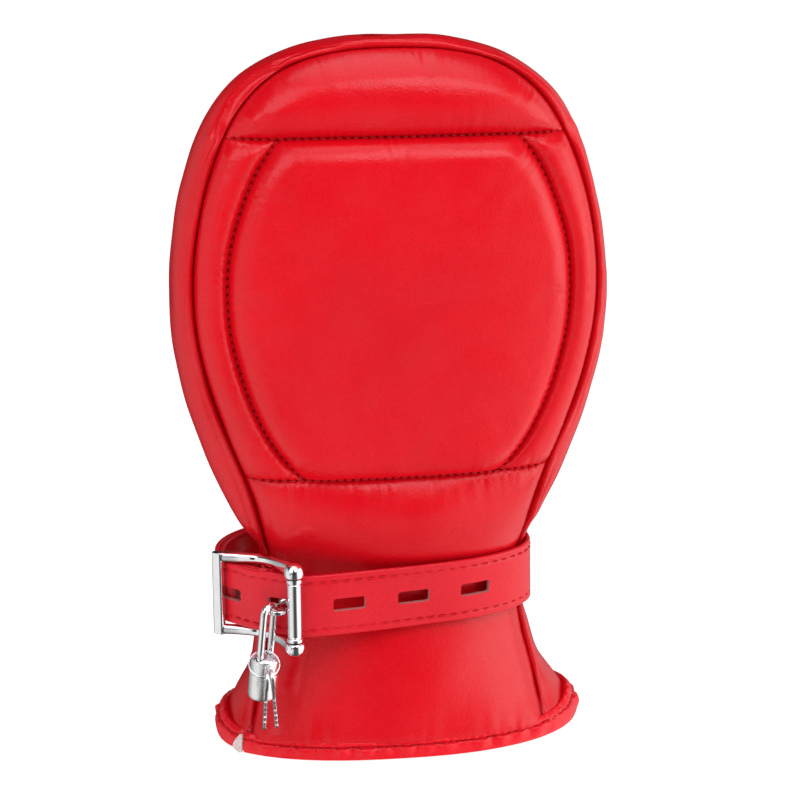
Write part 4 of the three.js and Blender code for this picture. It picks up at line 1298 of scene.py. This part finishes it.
def buckle_frame():
    """Two arched side bars, a flat bar at the left, the centre bar and the roller's axle, cast
    as one piece with soft corners."""
    arch, _ = spaced([(LEFT_BAR_U - 1, -LEFT_BAR_W), (-9, 2.6), (0, -DIP), (10, 1.9),
                      (ROLLER_U + 1, -ROLLER_W)], 0.5)
    normal = normals_of(arch)
    lift = (INSIDE + SIDE_BAR) / 2
    corners = rounded_box(1, 1, 0.46, 7)
    swell = 1 + 0.45 * np.clip((arch[:, 0] - 4) / 15, 0, 1) ** 1.6
    parts = []
    for sign in (-1, 1):
        height = INSIDE / 2 + (corners[None, :, 1] * sign + 0.5) * SIDE_BAR * swell[:, None]
        depth = corners[None, :, 0] * RAIL * swell[:, None]
        parts.append(tube(carried(arch, normal, depth, sign * height)))
        low = INSIDE / 2 + 0.05
        dome = [(0, low), (3.2, low), (3.8, low + 0.55), (4.0, lift), (3.85, lift + 1.4),
                (3.1, lift + 2.7), (1.8, lift + 3.6), (0, lift + 3.9)]
        cap = lathe(dome, 48)
        if sign < 0:
            cap = moved(cap, Matrix.Scale(-1, 4, (0, 0, 1)))
        parts.append(moved(cap, Matrix.Translation((ROLLER_U, -ROLLER_W, 0))))
    post = rounded([(-2.6, -1.6), (2.2, -1.6), (2.2, 1.6), (-2.6, 1.6)], 1.45, 7)
    tall = INSIDE / 2 + SIDE_BAR
    parts.append(moved(prism(post, -tall, tall), Matrix.Translation((LEFT_BAR_U, -LEFT_BAR_W, 0))))
    parts.append(rod(PIN, INSIDE + SIDE_BAR, (0, -DIP, 0)))
    parts.append(rod(AXLE, INSIDE + SIDE_BAR, (ROLLER_U, -ROLLER_W, 0)))
    piece = cast("buckle_frame_casting", moved(together(*parts), HARDWARE), CHROME, "buckle",
                 0.26, 8)
    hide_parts("buckle_frame")


def buckle_roller():
    """A rolled tube with a raised collar and a ring groove at each end."""
    half = INSIDE / 2 - GAP
    outside = [(radius, from_end - half) for radius, from_end in (
        (ROLLER_GROOVE, 0), (ROLLER_COLLAR - 0.15, 0), (ROLLER_COLLAR, 0.15), (ROLLER_COLLAR, 1.3),
        (ROLLER_COLLAR - 0.15, 1.5), (ROLLER_GROOVE, 1.65), (ROLLER_GROOVE, 1.85),
        (ROLLER_BARREL, 2.1))]
    other = [(r, -h) for r, h in outside[::-1]]
    bore = [(ROLLER_BORE, half), (ROLLER_BORE, -half)]
    part = lathe(outside + other + bore + [outside[0]], 80)
    turn = HARDWARE @ Matrix.Translation((ROLLER_U, -ROLLER_W, 0))
    piece = new_mesh("buckle_roller_tube", *moved(part, turn), CHROME, "roller", "chrome", 35)
    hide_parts("buckle_roller")


def buckle_tongue():
    """The eye on the centre bar, the plate under the strap, and the staple on it."""
    half, bore = 3, PIN + GAP
    eye = lathe([(bore, -half), (bore + 1.4, -half), (bore + 1.4, half), (bore, half),
                 (bore, -half)], 48)
    low, high = 5.1, 3.7
    flat = rounded([(2.6, high), (19.5, high), (19.5, low), (2.6, low)], 0.4, 3)
    turn = np.linspace(0, math.pi, 25)
    bow = np.column_stack([STAPLE_U + STAPLE_LEGS * np.cos(turn),
                           -STAPLE_REACH - STAPLE_LEGS * np.sin(turn)])
    near, far = STAPLE_U + STAPLE_LEGS, STAPLE_U - STAPLE_LEGS
    path = np.vstack([[(near, high + 0.4), (near, 0)], bow, [(far, 0), (far, high + 0.4)]])
    across, up = (rounded_box(1, 1, 0.32, 5) * STAPLE_BAR).T
    staple = tube(carried(path, normals_of(path), across[None], STAPLE_DROP + up))
    parts = together(moved(eye, Matrix.Translation((0, -DIP, 0))), prism(flat, -half, half), staple)
    piece = cast("buckle_tongue_staple", moved(parts, HARDWARE), CHROME, "tongue", 0.2, 5)
    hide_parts("buckle_tongue")


# ------------------------------------------------------------------ padlock and keys

STAPLE_HEIGHT = STRAP_HEIGHT + STAPLE_DROP
OUTWARD = (math.sin(BUCKLE_TURN), -math.cos(BUCKLE_TURN), 0)
LOCK = (Matrix.Translation((*to_plan(LOCK_U, LOCK_W), STAPLE_HEIGHT))
        @ Matrix.Rotation(LOCK_LEAN, 4, Vector(OUTWARD))
        @ Matrix.Rotation(BUCKLE_TURN, 4, "Z"))


def padlock():
    """The shackle, the barrel that it goes into, and the plug with its keyway underneath."""
    half = LOCK_LEGS / 2
    crown, top, bottom = (z - STAPLE_HEIGHT for z in (LOCK_CROWN, LOCK_TOP, LOCK_BOTTOM))
    turn = np.linspace(0, math.pi, 33)
    path = np.vstack([
        [(0, 0, top - 3.4), (0, 0, (top + crown) / 2)],
        np.column_stack([0 * turn, -half + half * np.cos(turn), crown + half * np.sin(turn)]),
        [(0, -LOCK_LEGS, (top + crown) / 2), (0, -LOCK_LEGS, top - 8)],
    ])
    wire = tube(wire_rings(path, LOCK_WIRE, 32, up=(1, 0, 0)))
    piece = new_mesh("padlock_shackle_wire", *moved(wire, LOCK), CHROME, "shackle", "chrome", 60)
    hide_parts("padlock_shackle")

    r = LOCK_RADIUS
    seam = bottom + 0.62 * (top - bottom)
    barrel = [(0, bottom), (r - 1.5, bottom), (r - 0.7, bottom + 0.25), (r - 0.15, bottom + 0.9),
              (r, bottom + 1.8), (r - 0.05, seam - 0.6), (r - 0.2, seam - 0.25),
              (r - 0.5, seam - 0.1),
              (r - 0.5, seam + 0.1), (r - 0.25, seam + 0.25), (r - 0.1, seam + 0.6),
              (r - 0.15, top - 1.6), (r - 0.5, top - 0.8), (r - 1.3, top - 0.2), (r - 2.2, top),
              (0, top)]
    body = moved(lathe(barrel, 96), Matrix.Translation((0, -half, 0)))
    piece = new_mesh("padlock_body_barrel", *moved(body, LOCK), LOCK_METAL, "padlock", "chrome", 30)
    for y, deep in ((0, 4.4), (-LOCK_LEGS, 9)):
        cut_from(piece, moved(rod(LOCK_WIRE + GAP, 2 * deep, (0, y, top)), LOCK), LOCK_METAL)
    cut_from(piece, moved(rod(2.8, 15, (0, -half, bottom)), LOCK), LOCK_METAL)
    finish_piece(piece, None, "padlock", 35, outward=False)
    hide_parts("padlock_body")

    face = bottom + 3.7
    plug = [(0, face + 3.5), (2.45, face + 3.5), (2.45, face - 3.1), (2.2, face - 3.4),
            (1.9, face - 3.5), (0, face - 3.5)]
    part = moved(lathe(plug, 64), Matrix.Translation((0, -half, 0)))
    piece = new_mesh("padlock_plug_brass", *moved(part, LOCK), PLUG_METAL, "plug", "lock_metal", 30)
    way = moved(box_prism(1.1, 3.4, 5, 0.35), Matrix.Translation((0, -half, bottom + 1)))
    cut_from(piece, moved(way, LOCK), PLUG_METAL)
    finish_piece(piece, None, "plug", 35, outward=False)
    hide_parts("padlock_plug")


def ring_point(around):
    """A point of the key ring, in degrees from its top."""
    a = math.radians(90 - around)
    across, up = RING_RADIUS * math.cos(a), RING_RADIUS * math.sin(a)
    return (RING[0] + across, RING[1] + up * math.sin(RING_LEAN), RING[2] + up * math.cos(RING_LEAN))


def key_ring():
    """A split ring: wire wound twice round, its ends lying side by side."""
    turn = np.linspace(0, 4 * math.pi, 200)
    apart = 0.235 * np.tanh((turn - 2 * math.pi) * 1.2)
    path = np.column_stack([RING_RADIUS * np.cos(turn), RING_RADIUS * np.sin(turn), apart])
    ends = np.sin(np.clip(np.minimum(turn, turn[-1] - turn) / 0.06, 0, 1) * math.pi / 2)
    part = tube(wire_rings(path, 0.24 * (0.35 + 0.65 * ends), 14))
    place = Matrix.Translation(RING) @ Matrix.Rotation(math.pi / 2 - RING_LEAN, 4, "X")
    piece = new_mesh("key_ring_wire", *moved(part, place), CHROME, "key_ring", "chrome", 60)
    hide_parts("key_ring")


def plate(name, outlines, thickness, bevel):
    """A flat plate with bevelled edges from closed outlines, the later ones being holes."""
    curve = bpy.data.curves.new(name, "CURVE")
    assign(curve, dimensions="2D", fill_mode="BOTH", extrude=thickness / 2 - bevel,
           bevel_depth=bevel, bevel_resolution=2, offset=-bevel)
    for points in outlines:
        spline = curve.splines.new("POLY")
        spline.points.add(len(points) - 1)
        for target, (x, y) in zip(spline.points, points):
            target.co = (x, y, 0, 1)
        spline.use_cyclic_u = True
    holder = linked(name, curve)
    evaluated = holder.evaluated_get(bpy.context.evaluated_depsgraph_get())
    mesh = bpy.data.meshes.new_from_object(evaluated)
    bpy.data.objects.remove(holder)
    work = bmesh.new()
    work.from_mesh(mesh)
    bmesh.ops.remove_doubles(work, verts=work.verts, dist=1e-4)
    index = {v: i for i, v in enumerate(work.verts)}
    part = (np.array([v.co for v in work.verts]), [[index[v] for v in f.verts] for f in work.faces])
    work.free()
    bpy.data.meshes.remove(mesh)
    return part


def key(name, body, around, tilt, seed):
    """A small flat key, hanging edge-on from the ring, its teeth towards the front."""
    centre = -(KEY_BOW - KEY_HOLE - 0.9)
    end = -(KEY_LENGTH - KEY_HOLE - 0.9)
    half = KEY_BLADE / 2
    bow = [(KEY_BOW * math.cos(a), centre + KEY_BOW * math.sin(a))
           for a in np.radians(np.linspace(-62, 242, 40))]
    teeth = [(-half, end + 14.6)]
    draw = np.random.default_rng(seed)
    for k in range(6):
        level = end + 13.4 - 2.05 * k
        deep = half - draw.uniform(0.6, 1.15)
        teeth += [(-half, level), (-deep, level - 0.55), (-deep, level - 1.1), (-half, level - 1.65)]
    tip = [(-half + 0.2, end + 0.9), (-0.5, end), (0.5, end), (half, end + 1.4)]
    eye = [(KEY_HOLE * math.cos(a), KEY_HOLE * math.sin(a))
           for a in np.linspace(0, 2 * math.pi, 33)[:-1]]
    blank = bow + [(-half, centre - 3.4)] + teeth + tip
    part = plate(name, [blank, eye], KEY_THICKNESS, 0.16)
    place = (Matrix.Translation(ring_point(around)) @ Matrix.Rotation(math.radians(tilt), 4, "Y")
             @ Matrix.Rotation(math.pi / 2, 4, "Z") @ Matrix.Rotation(math.pi / 2, 4, "X"))
    piece = new_mesh(name + "_blank", *moved(part, place), KEY_METAL, body, "key_metal", 30)
    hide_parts(name)


# ------------------------------------------------------------------ camera, light and floor

def aim(obj, target):
    obj.rotation_mode = "QUATERNION"
    obj.rotation_quaternion = (Vector(target) - obj.location).to_track_quat("-Z", "Y")


def camera():
    """A long lens, a little to the left of the mitt's front and above it."""
    right = Vector((math.cos(CAMERA_TURN), math.sin(CAMERA_TURN), 0))
    target = Vector((-0.0022, SET_BACK * MM, 0.1366)) + right * 0.0062
    level = math.cos(CAMERA_RISE)
    back = Vector((math.sin(CAMERA_TURN) * level, -math.cos(CAMERA_TURN) * level,
                   math.sin(CAMERA_RISE)))
    lens = bpy.data.cameras.new("camera")
    assign(lens, lens=CAMERA_LENS, sensor_width=36, clip_start=0.02, clip_end=60)
    view = linked("camera", lens)
    view.location = target + back * CAMERA_DISTANCE
    aim(view, target)
    roll = Quaternion((0, 0, 1), CAMERA_ROLL)
    view.rotation_quaternion = view.rotation_quaternion @ roll
    bpy.context.scene.camera = view


def area(name, location, target, width, height, power, color=(1, 1, 1)):
    light = bpy.data.lights.new(name, "AREA")
    assign(light, shape="RECTANGLE", size=width, size_y=height, energy=power, color=color)
    lamp = linked(name, light)
    lamp.location = location
    aim(lamp, target)


def rectangle(name, width, height, z=0.0):
    w, h = width / 2, height / 2
    mesh = bpy.data.meshes.new(name)
    mesh.from_pydata([(-w, -h, z), (w, -h, z), (w, h, z), (-w, h, z)], [], [(0, 1, 2, 3)])
    return linked(name, mesh)


def card(name, location, target, width, height):
    """A black card out of the camera's sight, for the metal to reflect."""
    made = rectangle(name, width, height)
    made.location = location
    aim(made, target)
    made.data.materials.append(surface(name, (0.01, 0.01, 0.01), 0.9)[0])
    made.visible_camera = made.visible_diffuse = made.visible_shadow = False


def studio():
    """A white table for the camera, soft boxes above and to the sides, and a dim room in front."""
    scene = bpy.context.scene
    scene.view_settings.view_transform = "Standard"
    world = bpy.data.worlds.new("world")
    world.use_nodes = True
    tree = world.node_tree
    direction = add_node(tree, "ShaderNodeTexCoord").outputs["Generated"]
    x, y, z = add_node(tree, "ShaderNodeSeparateXYZ", {"Vector": direction}).outputs
    across = math_of(tree, "MAXIMUM", x, math_of(tree, "MULTIPLY", x, -1.1))
    dark_front = ranged(tree, across, 0.06, 1.05, 0.30, 0.72)
    balance = ranged(tree, x, 0.8, 1.4, -0.5, 0.5)
    before = ranged(tree, y, 1.0, 0.42, 0.0, 0.6)
    wall_top = ranged(tree, z, 1.0, 0.1, 0.36, 0.55)
    walls = math_of(tree, "MULTIPLY", dark_front, balance)
    for part in (before, wall_top):
        walls = math_of(tree, "MULTIPLY", walls, part)
    total = math_of(tree, "ADD", walls, ranged(tree, z, 0.0, 0.5, 0.8, 0.97))
    tree.links.new(total, tree.nodes["Background"].inputs["Strength"])
    tree.nodes["Background"].inputs["Color"].default_value = (1, 1, 1, 1)
    scene.world = world
    centre = (0, 0, 0.14)
    area("key", (-0.75, -0.75, 1.2), centre, 1.1, 1.1, 8.6, (1, 0.96, 1.06))
    area("top", (0.1, 0.05, 1.35), centre, 1.2, 0.8, 4.2, (1, 0.97, 1.08))
    area("fill", (1.3, -0.55, 0.45), centre, 1.1, 1.3, 6.6)
    area("front", (0.45, -1.0, 1.3), centre, 0.9, 0.7, 8.0, (1, 0.97, 1.06))
    card("left card", (-0.9, -0.75, 0.2), centre, 0.16, 0.9)
    card("low card", (-0.25, -0.9, 0.02), centre, 0.9, 0.10)
    card("high card", (-0.85, 0.05, 0.80), centre, 0.9, 0.24)
    floor = rectangle("floor", 40, 40, -0.0006)
    white = surface("floor", (0.4, 0.4, 0.4), 0.8, Emission_Color=(1, 1, 1, 1), Emission_Strength=0.94)
    floor.data.materials.append(white[0])
    floor.visible_glossy = False


# ------------------------------------------------------------------ the whole mitt

camera()
studio()
make_pads()
gusset()
hem_binding()
hem_raw_end()
hem_stitches()
quilt_stitches("front", -1)
quilt_stitches("back", 1)
lining()
tail_strap()
buckle_strap()
strap_patch()
rivet("rivet_buckle_strap", -9, 36.8)
rivet("rivet_tail_strap", 12, 36.4)
buckle_frame()
buckle_roller()
buckle_tongue()
padlock()
key_ring()
key("key_left", "left_key", 177, 4, 11)
key("key_right", "right_key", 157, -4, 12)
